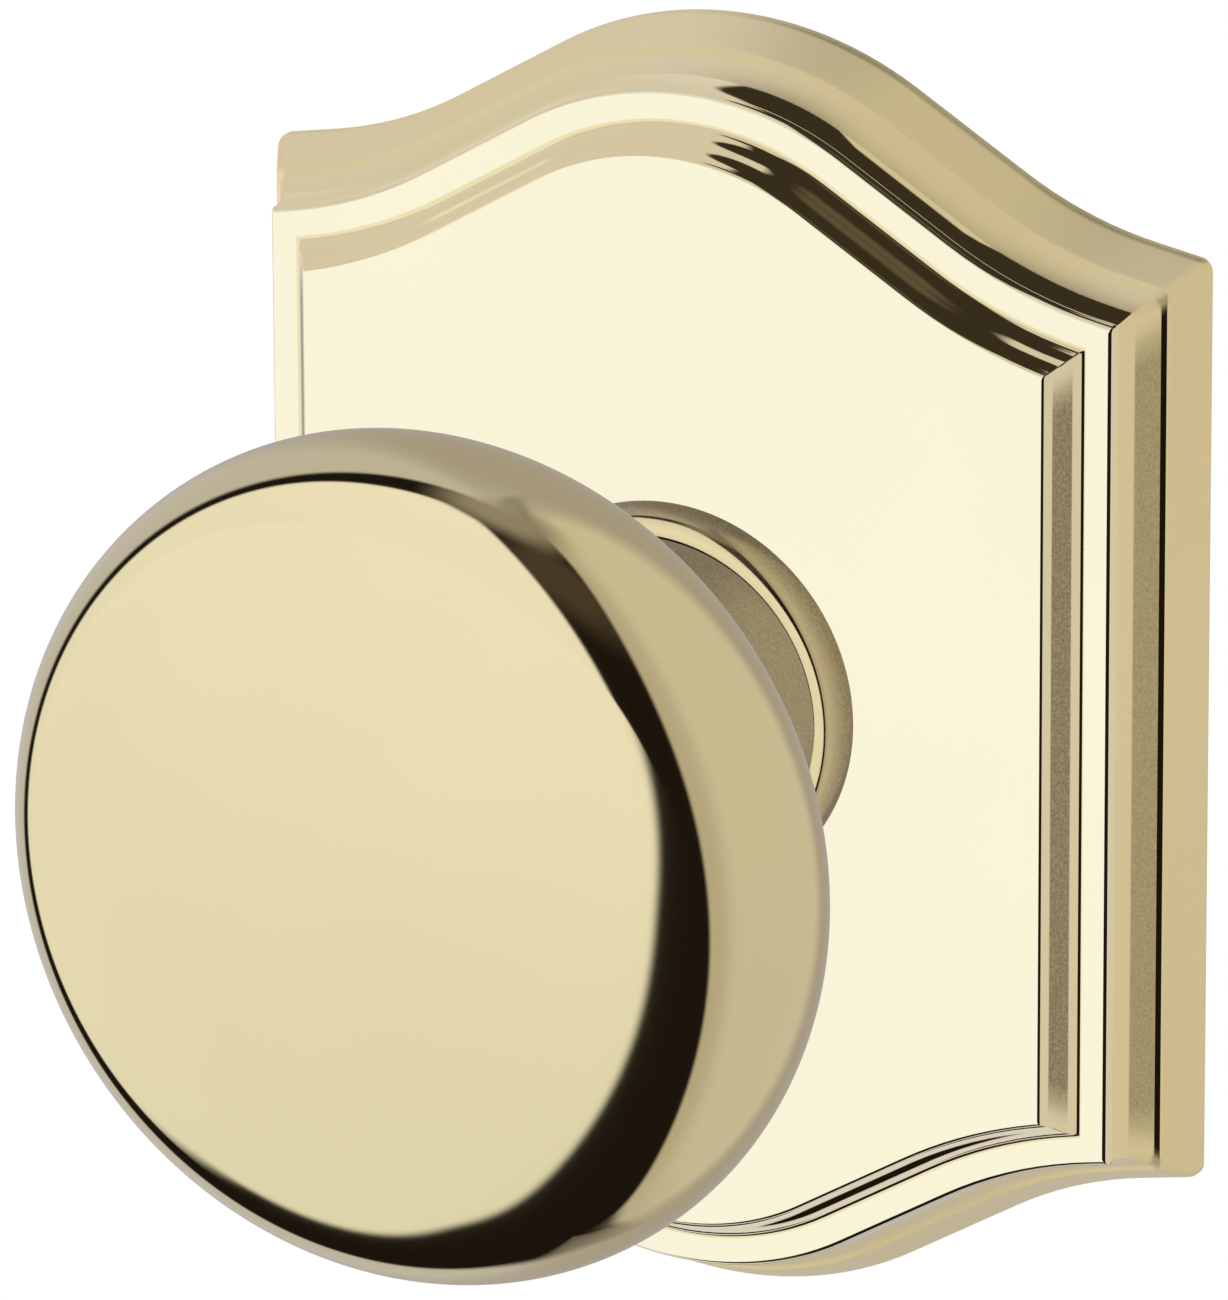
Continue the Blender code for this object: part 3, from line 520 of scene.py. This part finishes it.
def add_neck():
    """The shank, from its flange under the head down to its tail behind the door's face."""
    tail, tip = TAIL_RADIUS, TAIL_RADIUS - TAIL_CHAMFER
    flange = THROAT_RADIUS - 0.2
    profile = [(0.0, STUB_TOP), (tip, STUB_TOP), (tail, STUB_TOP - TAIL_CHAMFER), (tail, FLANGE_TOP)]
    profile += [(flange, FLANGE_TOP), (flange, THROAT_HEIGHT + 0.3), (flange + 0.1, THROAT_HEIGHT + 0.12)]
    profile += [(THROAT_RADIUS, THROAT_HEIGHT)]
    for i in range(1, THROAT_STEPS + 1):
        share = 1.0 - i / THROAT_STEPS
        height = WAIST_HEIGHT + (THROAT_HEIGHT - WAIST_HEIGHT) * share
        profile.append((WAIST_RADIUS + (THROAT_RADIUS - WAIST_RADIUS) * share**THROAT_POWER, height))
    for i in range(1, WAIST_STEPS + 1):
        share = i / WAIST_STEPS
        height = WAIST_HEIGHT + (COLLAR_HEIGHT - WAIST_HEIGHT) * share
        profile.append((WAIST_RADIUS + (NECK_RADIUS - WAIST_RADIUS) * share**2, height))
    profile += [(NECK_RADIUS, TAIL_TOP), (tail, TAIL_TOP), (tail, GROOVE_TOP), (GROOVE_RADIUS, GROOVE_TOP)]
    profile += [(GROOVE_RADIUS, GROOVE_FOOT), (tail, GROOVE_FOOT), (tail, TAIL_END + TAIL_CHAMFER)]
    profile += [(tip, TAIL_END), (0.0, TAIL_END)]
    hole = rod_mesh("screw_hole", SET_SCREW_RADIUS + GAP, *SET_SCREW_HOLE)
    mesh = carved(turned_mesh("knob_neck", profile), [stood_up(hole, SET_SCREW_HEIGHT)])
    # the whole neck, between the head and the collar, is darkened by a brown painted shade
    marked(mesh, satin=1.0, dull=NECK_SHADE)
    shown_object("knob_neck", mesh, TURNING, "knob_brass", ["knob_shank"])


# ---------------------------------------------------------------- plate, bolts, spindle, washers and spring


def add_plate():
    rings = []
    edge, top = PLATE_EDGE, PLATE_THICKNESS
    for inset, height in ((edge, 0.0), (0.0, edge), (0.0, top - edge), (edge, top)):
        rings.append([(x, y, height) for x, y in outline(PLATE_INSET + inset)])
    through = (-CUT, PLATE_THICKNESS + CUT)
    holes = [rod_mesh("bore", BUSH_RADIUS + GAP, *through, steps=WASHER_STEPS)]
    holes += [rod_mesh("hole", BOLT_RADIUS + 0.4, *through, (0.0, side * BOLT_OFFSET)) for side in (-1, 1)]
    for across, up, (offset, radius) in ((1, 0, CAGE_RIVET), (1, 0, SIDE_CLIP), (0, 1, END_CLIP)):
        for side in (1, -1):
            centre = (side * across * offset, side * up * offset)
            holes.append(rod_mesh("hole", radius + GAP, *through, centre))
    for side in (-1, 1):
        for end in (-1, 1):
            centre = (side * SPARE_HOLE[0], end * SPARE_HOLE[1])
            holes.append(rod_mesh("hole", SPARE_HOLE_RADIUS, *through, centre))
    mesh = carved(lofted_mesh("mounting_plate_fine", rings), [joined_mesh("holes", holes)])
    shown_object("mounting_plate_fine", mesh, FIXED, "zinc_plate", ["mounting_plate"])


def thread_mesh():
    """Rings of points whose radius follows the thread round and up."""
    turns = (THREAD_TOP - BOLT_END) / THREAD_PITCH
    rings = []
    for i in range(int(turns * THREAD_STEPS) + 1):
        height = BOLT_END + i * THREAD_PITCH / THREAD_STEPS
        taper = POINT_TAPER * max(0.0, 1.0 - (height - BOLT_END) / POINT_LENGTH)
        ring = []
        for k, angle in enumerate(circle_angles(BOLT_STEPS)):
            phase = (height / THREAD_PITCH + k / BOLT_STEPS) % 1.0
            radius = BOLT_RADIUS - taper - THREAD_DEPTH * abs(2.0 * phase - 1.0)
            ring.append((radius * math.cos(angle), radius * math.sin(angle), height))
        rings.append(ring)
    return lofted_mesh("thread", rings)


def bolt_mesh(name):
    """A bolt with a slotted pan head and a cut thread that winds up its shank."""
    shank, foot = BOLT_RADIUS - 0.12, THREAD_TOP - 0.3
    rim, crown = BOLT_SEAT + HEAD_WALL, BOLT_SEAT + HEAD_WALL + HEAD_DOME
    profile = [(0.0, foot), (shank - 0.3, foot), (shank, THREAD_TOP), (shank, BOLT_SEAT)]
    profile += [(BOLT_HEAD - 0.1, BOLT_SEAT), (BOLT_HEAD, BOLT_SEAT + 0.1), (BOLT_HEAD, rim)]
    for i in range(1, 10):
        angle = HALF_TURN / 2 * i / 10
        profile.append((BOLT_HEAD * math.cos(angle), rim + HEAD_DOME * math.sin(angle)))
    profile.append((0.0, crown))
    low = (-BOLT_HEAD - 0.6, -SLOT_WIDTH / 2, crown - SLOT_DEPTH)
    high = (BOLT_HEAD + 0.6, SLOT_WIDTH / 2, crown + CUT)
    body = carved(turned_mesh("bolt_body", profile, 64), [box_mesh("slot", low, high)])
    return joined_mesh(name, [thread_mesh(), body])


def add_bolts():
    for end, side in (("top", 1), ("bottom", -1)):
        name = f"through_bolt_{end}"
        mesh = bolt_mesh(f"{name}_fine")
        mesh.transform(Matrix.Translation(place(0.0, side * BOLT_OFFSET, 0.0)))
        shown_object(f"{name}_fine", mesh, FIXED, "steel", [name])


def add_spindle():
    """A square bar with broken edges and chamfered ends, and the grub screw that bears on it."""

    def square(half, height):
        near = half - SPINDLE_EDGE
        spots = [(half, -near), (half, near), (near, half), (-near, half)]
        return [(x, y, height) for x, y in spots + [(-x, -y) for x, y in spots]]

    tip = SPINDLE_HALF - SPINDLE_TAPER
    rings = [square(tip, SPINDLE_END), square(SPINDLE_HALF, SPINDLE_END + SPINDLE_TIP)]
    rings += [square(SPINDLE_HALF, SPINDLE_TOP - SPINDLE_TIP), square(tip, SPINDLE_TOP)]
    shown_object("spindle_fine", lofted_mesh("spindle_fine", rings), TURNING, "steel", ["spindle"])
    inner, rim = SPINDLE_HALF + GAP, SET_SCREW_RADIUS - 0.25
    profile = [(0.0, inner), (rim, inner), (SET_SCREW_RADIUS, inner + 0.3)]
    profile += [(SET_SCREW_RADIUS, SET_SCREW_END - 0.3), (rim, SET_SCREW_END), (0.0, SET_SCREW_END)]
    key = rod_mesh("key", KEY_RADIUS, SET_SCREW_END - KEY_DEPTH, SET_SCREW_END + CUT, steps=6)
    mesh = stood_up(carved(turned_mesh("set_screw_fine", profile, 48), [key]), SET_SCREW_HEIGHT)
    shown_object("set_screw_fine", mesh, TURNING, "steel", ["spindle_set_screw"])


def add_washers():
    """The bushes and the plain washers: inner and outer radius, foot and top."""
    rings = [
        ("cage_bush", FIXED, "bronze", TAIL_RADIUS + GAP, BUSH_RADIUS, 7.1, 8.1),
        ("plate_bush", FIXED, "bronze", TAIL_RADIUS + GAP, BUSH_RADIUS, -0.3, PLATE_THICKNESS),
        ("thrust_washer", TURNING, "nylon", TAIL_RADIUS + 0.4, 11.4, 8.4, 8.9),
        ("flat_washer", TURNING, "zinc_plate", TAIL_RADIUS + 0.4, 11.2, -1.2, -0.6),
    ]
    for name, body, slot, *sizes in rings:
        shown_object(f"{name}_fine", ring_mesh(f"{name}_fine", *sizes), body, slot, [name])


def add_wave_washer():
    bm = bmesh.new()
    loops = []
    for radius, lift in ((WAVE_INNER, -0.2), (WAVE_OUTER, -0.2), (WAVE_OUTER, 0.2), (WAVE_INNER, 0.2)):
        loop = []
        for angle in circle_angles(WASHER_STEPS):
            height = lift + WAVE_HEIGHT + WAVE_SWING * math.sin(WAVES * angle)
            loop.append(bm.verts.new(place(radius * math.cos(angle), radius * math.sin(angle), height)))
        loops.append(loop)
    for lower, upper in zip(loops, loops[1:] + loops[:1]):
        bridge(bm, lower, upper)
    mesh = finished_mesh("wave_washer_fine", bm)
    shown_object("wave_washer_fine", mesh, TURNING, "spring_steel", ["wave_washer"])


def add_retaining_ring():
    """An open ring with an eye on each side of its opening, for the pliers that spread it."""
    eyes = [(side * EYE_OFFSET, 0.2 - CLIP_OUTER) for side in (-1, 1)]
    low = (-CLIP_OPENING, -CLIP_OUTER - 2.0, CLIP_FOOT - CUT)
    high = (CLIP_OPENING, 6.0 - CLIP_OUTER, CLIP_TOP + CUT)
    whole = ring_mesh("retaining_ring_fine", CLIP_INNER, CLIP_OUTER, CLIP_FOOT, CLIP_TOP)
    ring = carved(
        carved(whole, [box_mesh("opening", low, high)]),
        [rod_mesh("pin_hole", PIN_HOLE, CLIP_FOOT - CUT, CLIP_TOP + CUT, eye) for eye in eyes],
        [rod_mesh("eye", EYE_RADIUS, CLIP_FOOT, CLIP_TOP, eye) for eye in eyes],
    )
    shown_object("retaining_ring_fine", ring, TURNING, "spring_steel", ["retaining_ring"])


def wire_mesh(name, route):
    """Round wire through (radius, angle, height) points."""
    curve = bpy.data.curves.new(name, "CURVE")
    curve.dimensions = "3D"
    curve.bevel_depth = WIRE_RADIUS * MM
    curve.bevel_resolution = 4
    curve.use_fill_caps = True
    spline = curve.splines.new("POLY")
    spline.points.add(len(route) - 1)
    for point, (radius, angle, height) in zip(spline.points, route):
        point.co = (*place(radius * math.sin(angle), radius * math.cos(angle), height), 1.0)
    item = linked(name, curve)
    mesh = evaluated_mesh(item)
    bpy.data.objects.remove(item)
    mesh.name = name
    mesh.shade_smooth()
    return mesh


def add_spring():
    """A coil that winds up between the cage and the hub, with a leg on each."""
    sweep = 4 * HALF_TURN - 2 * LEG_ANGLE
    coil = []
    for i in range(COIL_STEPS + 1):
        height = COIL_TOP + (COIL_FOOT - COIL_TOP) * i / COIL_STEPS
        coil.append((COIL_RADIUS, LEG_ANGLE + sweep * i / COIL_STEPS, height))
    legs = {
        "upper": (FIXED, LEG_ANGLE, COIL_TOP),
        "lower": (TURNING, LEG_ANGLE + sweep, COIL_FOOT),
    }
    for name, (body, angle, height) in legs.items():
        route = [(COIL_RADIUS, angle, height), (LEG_RADIUS, angle, height), (LEG_RADIUS, angle, LEG_FOOT)]
        mesh = wire_mesh(f"spring_leg_{name}", route)
        shown_object(f"spring_leg_{name}", mesh, body, "spring_steel")
    item = linked("spring_coil", wire_mesh("spring_coil", coil))
    item.data.materials.append(MATERIALS["spring_steel"])
    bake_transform(item)
    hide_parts("return_spring")


# ---------------------------------------------------------------- materials


class Graph:
    """Short calls that build a node tree."""

    def __init__(self, tree):
        self.tree = tree

    def add(self, kind, inputs=None, **settings):
        node = self.tree.nodes.new(kind)
        for name, value in settings.items():
            setattr(node, name, value)
        for name, value in (inputs or {}).items():
            if isinstance(value, bpy.types.NodeSocket):
                self.tree.links.new(value, node.inputs[name])
            else:
                node.inputs[name].default_value = value
        return node

    def math(self, operation, a, b=0.0, c=0.0):
        return self.add("ShaderNodeMath", {0: a, 1: b, 2: c}, operation=operation).outputs[0]

    def step(self, value, low, high):
        """0 below low, 1 above high, smooth between."""
        inputs = {"Value": value, "From Min": low, "From Max": high}
        return self.add("ShaderNodeMapRange", inputs, interpolation_type="SMOOTHSTEP").outputs["Result"]

    def blob(self, across, up, centre, half, power, soft):
        """1 inside a rounded box of the directions, 0 outside. Angles are in degrees."""
        aside = self.math("WRAP", self.math("SUBTRACT", across, centre[0]), 180.0, -180.0)
        terms = []
        for value, size in ((aside, half[0]), (self.math("SUBTRACT", up, centre[1]), half[1])):
            share = self.math("ABSOLUTE", self.math("DIVIDE", value, size))
            terms.append(self.math("POWER", share, power))
        distance = self.math("POWER", self.math("ADD", *terms), 1.0 / power)
        edge = soft / min(half) / 2
        return self.math("SUBTRACT", 1.0, self.step(distance, 1.0 - edge, 1.0 + edge))

    def mix(self, share, a, b):
        node = self.add("ShaderNodeMix", {"Factor": share, "A": a, "B": b}, data_type="RGBA")
        return node.outputs["Result"]

    def attribute(self, name):
        return self.add("ShaderNodeAttribute", attribute_name=name).outputs["Fac"]

    def noise(self, vector, scale, detail=3.0, roughness=0.5):
        inputs = {"Vector": vector, "Scale": scale, "Detail": detail, "Roughness": roughness}
        return self.add("ShaderNodeTexNoise", inputs).outputs["Fac"]

    def range(self, value, low, high, out_low, out_high):
        inputs = {"Value": value, "From Min": low, "From Max": high, "To Min": out_low, "To Max": out_high}
        return self.add("ShaderNodeMapRange", inputs).outputs["Result"]


def new_material(name):
    """A material with nodes, what builds its graph, and its surface shader."""
    material = bpy.data.materials.new(name)
    material.use_nodes = True
    return material, Graph(material.node_tree), material.node_tree.nodes["Principled BSDF"]


def surfaced(material, shader, colour, polish, bump):
    """Joins what varies over the surface to its shader."""
    values = {"Base Color": colour, "Roughness": polish, "Normal": bump.outputs["Normal"]}
    for socket, value in values.items():
        material.node_tree.links.new(value, shader.inputs[socket])
    return material


def metal(
    name, colour, roughness, shade=0.93, patch=120.0, grain=2500.0, depth=0.000004, spread=0.03, metallic=1.0
):
    """A metal, or a plastic where metallic is 0, with slow colour drift, uneven polish and a fine grain."""
    material, graph, shader = new_material(name)
    shader.inputs["Metallic"].default_value = metallic
    where = graph.add("ShaderNodeTexCoord").outputs["Object"]
    drift = graph.step(graph.noise(where, patch), 0.35, 0.65)
    darker = [c * shade for c in colour]
    tint = graph.mix(drift, (*darker, 1.0), (*colour, 1.0))
    fine = graph.noise(where, grain, 4.0, 0.6)
    polish = graph.range(fine, 0.3, 0.7, roughness - spread / 2, roughness + spread / 2)
    bump = graph.add("ShaderNodeBump", {"Height": fine, "Distance": depth, "Strength": 1.0})
    return surfaced(material, shader, tint, polish, bump)


def brass(name, colour, flat_colour, roughness, satin_roughness):
    """Buffed and lacquered brass: paler for painted light, rougher at satin, browner for painted shade."""
    material, graph, shader = new_material(name)
    shader.inputs["Metallic"].default_value = 1.0
    where = graph.add("ShaderNodeTexCoord").outputs["Object"]
    flat, satin, dull = [graph.attribute(mark) for mark in ("flat", "satin", "dull")]
    cloud = graph.range(graph.noise(where, 45.0, 2.0), 0.3, 0.7, 0.0, 1.0)
    tint = graph.mix(cloud, (*[c * 0.975 for c in colour], 1.0), (*colour, 1.0))
    # painted light: a paler copy of the brass for the band and the panel
    pale = graph.mix(cloud, (*[c * 0.985 for c in flat_colour], 1.0), (*flat_colour, 1.0))
    # painted shade: a brown darkening where the mesh is marked, broken up by a fine speckle
    speckle = graph.range(graph.noise(where, 5200.0, 2.0, 0.6), 0.3, 0.7, 0.75, 1.1)
    shade_amount = graph.math("MULTIPLY", dull, speckle)
    shaded_tint = graph.mix(shade_amount, tint, (*[c * k for c, k in zip(colour, SHADE_TINT)], 1.0))
    grain = graph.noise(where, 9000.0, 3.0, 0.6)
    bright = graph.range(grain, 0.3, 0.7, roughness * 0.8, roughness * 1.2)
    matt = graph.range(grain, 0.3, 0.7, satin_roughness * 0.85, satin_roughness * 1.15)
    polish = graph.add("ShaderNodeMix", {0: satin, 2: bright, 3: matt}).outputs[0]
    scratches = graph.noise(where, 2600.0, 2.0)
    depth = graph.math("MULTIPLY", graph.math("MULTIPLY", scratches, satin), 0.0000015)
    bump = graph.add("ShaderNodeBump", {"Height": depth, "Distance": 1.0, "Strength": 1.0})
    # the painted light mark picks the paler copy
    return surfaced(material, shader, graph.mix(flat, shaded_tint, pale), polish, bump)


def make_materials():
    return {
        # the polished brass's second colour is the paler copy, painted light on the rosette's band and panel
        "polished_brass": brass("polished_brass", (0.86, 0.75, 0.46), (0.95, 0.912, 0.70), 0.035, 0.45),
        "knob_brass": brass("knob_brass", (0.87, 0.78, 0.50), (0.87, 0.78, 0.50), 0.05, 0.3),
        "zinc_plate": metal("zinc_plate", (0.70, 0.71, 0.70), 0.35),
        "zinc_casting": metal("zinc_casting", (0.50, 0.50, 0.51), 0.5, 0.85, 400.0, 1500.0, 0.00005, 0.1),
        "bronze": metal("bronze", (0.56, 0.37, 0.20), 0.35, 0.8, 600.0, 3000.0, 0.00001, 0.1),
        "nylon": metal("nylon", (0.86, 0.85, 0.80), 0.45, metallic=0.0),
        "spring_steel": metal("spring_steel", (0.33, 0.33, 0.35), 0.3),
        "steel": metal("steel", (0.58, 0.58, 0.60), 0.3),
    }


def dress_frame():
    """Gives every CAD node that still shows the material of its slot."""
    for part in frame["record"]["subparts"]:
        node = frame["nodes"][part["node"]]
        node.data.materials.clear()
        node.data.materials.append(MATERIALS[part["material_slot"]])
        edges = node.modifiers.new("edges", "BEVEL")
        edges.width, edges.segments = 0.1 * MM, 2
        edges.limit_method, edges.angle_limit = "ANGLE", math.radians(50.0)


# ---------------------------------------------------------------- light, floor and camera


def direction_angles(graph, vector):
    """Azimuth from the front, positive to the right, and elevation, both in degrees."""
    axes = graph.add("ShaderNodeSeparateXYZ", {0: vector}).outputs
    to_degrees = 180.0 / HALF_TURN
    forward = graph.math("MULTIPLY", axes[1], -1.0)
    azimuth = graph.math("MULTIPLY", graph.math("ARCTAN2", axes[0], forward), to_degrees)
    return azimuth, graph.math("MULTIPLY", graph.math("ARCSINE", axes[2]), to_degrees)


def light_the_world():
    """White behind the object for the camera, and next to no light: that comes from the tents below."""
    world = bpy.data.worlds.new("backdrop")
    bpy.context.scene.world = world
    world.use_nodes = True
    graph = Graph(world.node_tree)
    world.node_tree.nodes.clear()
    dim = graph.add("ShaderNodeBackground", {"Color": (0.012, 0.009, 0.007, 1.0)})
    white = graph.add("ShaderNodeBackground", {"Color": (1.0, 1.0, 1.0, 1.0)})
    is_camera = graph.add("ShaderNodeLightPath").outputs["Is Camera Ray"]
    both = graph.add("ShaderNodeMixShader", {0: is_camera, 1: dim.outputs[0], 2: white.outputs[0]})
    graph.add("ShaderNodeOutputWorld", {"Surface": both.outputs[0]})


def pieces_of(slots):
    """Every CAD node and fine piece that has the material of one of the slots."""
    wanted = [MATERIALS[slot] for slot in slots]
    meshes = [item for item in bpy.context.scene.objects if item.type == "MESH" and item.data.materials]
    return [item for item in meshes if item.data.materials[0] in wanted]


def light_tent(name, radius, base, panels, pieces):
    """A sphere of light round the set, which only some pieces reflect.

    Each panel is (centre, half size, power, softness, shade above, shade below). Centres and sizes are
    azimuth and elevation in degrees, the power squares its corners, and a later panel covers an earlier
    one.
    """
    material = bpy.data.materials.new(name)
    material.use_nodes = True
    material.node_tree.nodes.clear()
    graph = Graph(material.node_tree)
    spot = graph.add("ShaderNodeTexCoord").outputs["Object"]
    unit = graph.add("ShaderNodeVectorMath", {0: spot}, operation="NORMALIZE").outputs[0]
    azimuth, elevation = direction_angles(graph, unit)
    leaning = graph.math("SUBTRACT", azimuth, graph.math("MULTIPLY", elevation, TENT_LEAN))
    colour = (*base, 1.0)
    for centre, half, power, soft, above, below in panels:
        share = graph.blob(leaning, elevation, centre, half, power, soft)
        height = graph.step(elevation, centre[1] - half[1], centre[1] + half[1])
        shade = graph.mix(height, (*below, 1.0), (*above, 1.0))
        colour = graph.mix(share, colour, shade)
    emission = graph.add("ShaderNodeEmission", {"Color": colour})
    clear = graph.add("ShaderNodeBsdfTransparent")
    both = graph.add("ShaderNodeAddShader", {0: clear.outputs[0], 1: emission.outputs[0]})
    graph.add("ShaderNodeOutputMaterial", {"Surface": both.outputs[0]})
    material.cycles.emission_sampling = "NONE"
    bm = bmesh.new()
    bmesh.ops.create_icosphere(bm, subdivisions=4, radius=radius)
    mesh = bpy.data.meshes.new(name)
    bm.to_mesh(mesh)
    bm.free()
    mesh.materials.append(material)
    tent = linked(name, mesh)
    tent.visible_camera = False
    tent.visible_shadow = False
    lit = bpy.data.collections.new(f"{name}_lit")
    for item in pieces:
        lit.objects.link(item)
    tent.light_linking.receiver_collection = lit


def light_the_set():
    """The tents are cream in front, beige at the sides and above, and dark in the gaps between."""
    dark, shade, smoke = (0.0, 0.0, 0.0), (0.032, 0.026, 0.018), (0.06, 0.045, 0.03)
    brown, umber = (0.12, 0.10, 0.07), (0.30, 0.27, 0.23)
    cream, soft_cream, low_cream = (1.0, 0.99, 0.98), (0.96, 0.94, 0.92), (0.84, 0.84, 0.80)
    beige, rim_beige, low_beige = (0.76, 0.75, 0.76), (0.67, 0.63, 0.54), (0.64, 0.60, 0.55)
    dim_beige, side_beige = (0.52, 0.47, 0.40), (0.73, 0.70, 0.62)
    pale, dim_pale, low_pale = (0.80, 0.80, 0.90), (0.57, 0.56, 0.58), (0.57, 0.57, 0.66)
    dusk = (0.42, 0.39, 0.38)
    knob_panels = [
        ((28.0, 62.0), (26.0, 18.0), 2.0, 20.0, smoke, smoke),
        ((115.0, 0.0), (74.0, 82.0), 3.3, 4.0, dim_beige, dim_beige),
        ((123.0, 0.0), (66.0, 76.0), 3.3, 22.0, rim_beige, low_beige),
        ((0.0, 90.0), (400.0, 13.0), 8.0, 14.0, umber, umber),
        ((-146.0, 5.0), (39.0, 78.0), 4.0, 5.0, dim_pale, dim_pale),
        ((187.0, 0.0), (31.0, 80.0), 4.0, 22.0, dusk, dusk),
        ((-42.0, 10.0), (58.0, 66.0), 3.0, 3.0, soft_cream, low_cream),
        ((-33.0, -14.0), (57.5, 50.5), 2.5, 1.5, soft_cream, low_cream),
    ]
    face_panels = [
        ((0.0, 4.0), (400.0, 85.0), 8.0, 4.0, beige, beige),
        ((0.0, 90.0), (400.0, 15.0), 8.0, 3.0, shade, shade),
        ((97.0, 61.0), (97.0, 24.0), 8.0, 3.0, shade, shade),
        ((48.0, 61.0), (24.0, 9.0), 2.5, 8.0, brown, brown),
        ((-30.0, -76.0), (72.0, 16.0), 8.0, 3.0, dark, dark),
        ((-44.0, -16.0), (60.0, 46.0), 8.0, 4.0, cream, cream),
        ((27.0, -18.0), (23.0, 60.0), 8.0, 2.0, dark, dark),
        ((200.0, -57.0), (48.0, 33.0), 6.0, 4.0, dark, dark),
        ((200.0, -58.0), (80.0, 13.0), 4.0, 4.0, pale, pale),
    ]
    moulding_panels = [
        ((-110.0, 58.0), (70.0, 32.0), 3.0, 30.0, pale, pale),
        ((178.0, 52.0), (27.0, 23.0), 4.0, 3.0, shade, shade),
        ((-44.0, -24.0), (60.0, 38.0), 8.0, 4.0, soft_cream, soft_cream),
        ((34.0, -22.0), (13.0, 50.0), 6.0, 2.0, dark, dark),
        ((208.0, -48.0), (58.0, 30.0), 4.0, 10.0, low_pale, low_pale),
    ]
    bright, grey, black = (1.2, 1.2, 1.22), (0.42, 0.43, 0.45), (0.05, 0.05, 0.05)
    bench_panels = [
        ((0.0, 62.0), (160.0, 26.0), 3.0, 14.0, bright, bright),
        ((160.0, 5.0), (34.0, 44.0), 4.0, 8.0, bright, grey),
        ((-110.0, 0.0), (16.0, 50.0), 4.0, 8.0, black, black),
        ((-60.0, -5.0), (28.0, 40.0), 4.0, 8.0, bright, grey),
    ]
    yellow = {item.name: item for item in pieces_of(["polished_brass"])}
    edge, face = yellow.pop("rosette_moulding"), yellow.pop("rosette_face")
    knob = pieces_of(["knob_brass"]) + list(yellow.values())
    light_tent("knob_tent", 20.0, dark, knob_panels, knob)
    light_tent("moulding_tent", 21.0, side_beige, moulding_panels, [edge])
    light_tent("face_tent", 22.0, dark, face_panels, [face])
    others = [slot for slot in MATERIALS if slot not in ("knob_brass", "polished_brass")]
    light_tent("bench_tent", 23.0, (0.22, 0.22, 0.23), bench_panels, pieces_of(others))


def add_floor():
    """A pale floor far below the knob, which hangs in the air as it does on a door."""
    bm = bmesh.new()
    bmesh.ops.create_grid(bm, x_segments=2, y_segments=2, size=8.0)
    mesh = bpy.data.meshes.new("floor")
    bm.to_mesh(mesh)
    bm.free()
    floor = linked("floor", mesh)
    floor.location.z = FLOOR_HEIGHT
    material, graph, shader = new_material("floor")
    shader.inputs["Base Color"].default_value = (0.95, 0.95, 0.95, 1.0)
    shader.inputs["Roughness"].default_value = 0.9
    shader.inputs["Emission Color"].default_value = (1.0, 1.0, 1.0, 1.0)
    shader.inputs["Emission Strength"].default_value = 1.0
    under = graph.add("ShaderNodeNewGeometry").outputs["Backfacing"]
    clear = graph.add("ShaderNodeBsdfTransparent").outputs[0]
    both = graph.add("ShaderNodeMixShader", {0: under, 1: shader.outputs[0], 2: clear})
    surface = material.node_tree.nodes["Material Output"].inputs["Surface"]
    material.node_tree.links.new(both.outputs[0], surface)
    mesh.materials.append(material)
    floor.visible_glossy = False
    floor.visible_diffuse = False
    floor.visible_shadow = False


def add_camera():
    """Up and to the right of the knob, far away, as for a long lens."""
    azimuth, elevation, roll = math.radians(26.81), math.radians(18.55), -0.00497
    distance = 0.8979
    aim = Vector((-0.00962, 0.0, -0.00142))
    level = math.cos(elevation)
    back = Vector((math.sin(azimuth) * level, -math.cos(azimuth) * level, math.sin(elevation)))
    right = Vector((math.cos(azimuth), math.sin(azimuth), 0.0))
    up = back.cross(right)
    turned_right = math.cos(roll) * right + math.sin(roll) * up
    turned_up = math.cos(roll) * up - math.sin(roll) * right
    camera = linked("camera", bpy.data.cameras.new("camera"))
    camera.data.sensor_width = 36.0
    camera.data.lens = 367.5
    camera.data.clip_end = 50.0
    turn = Matrix((turned_right, turned_up, back)).transposed().to_4x4()
    camera.matrix_world = Matrix.Translation(aim + back * distance) @ turn
    bpy.context.scene.camera = camera


add_camera()
add_floor()
light_the_world()
bpy.context.scene.view_settings.view_transform = "Standard"

MATERIALS = make_materials()
dress_frame()
add_rosette()
add_collar()
add_knob_head()
add_neck()
add_plate()
add_bolts()
add_spindle()
add_washers()
add_wave_washer()
add_retaining_ring()
add_spring()
light_the_set()
for item in frame["nodes"].values():
    item.visible_glossy = False
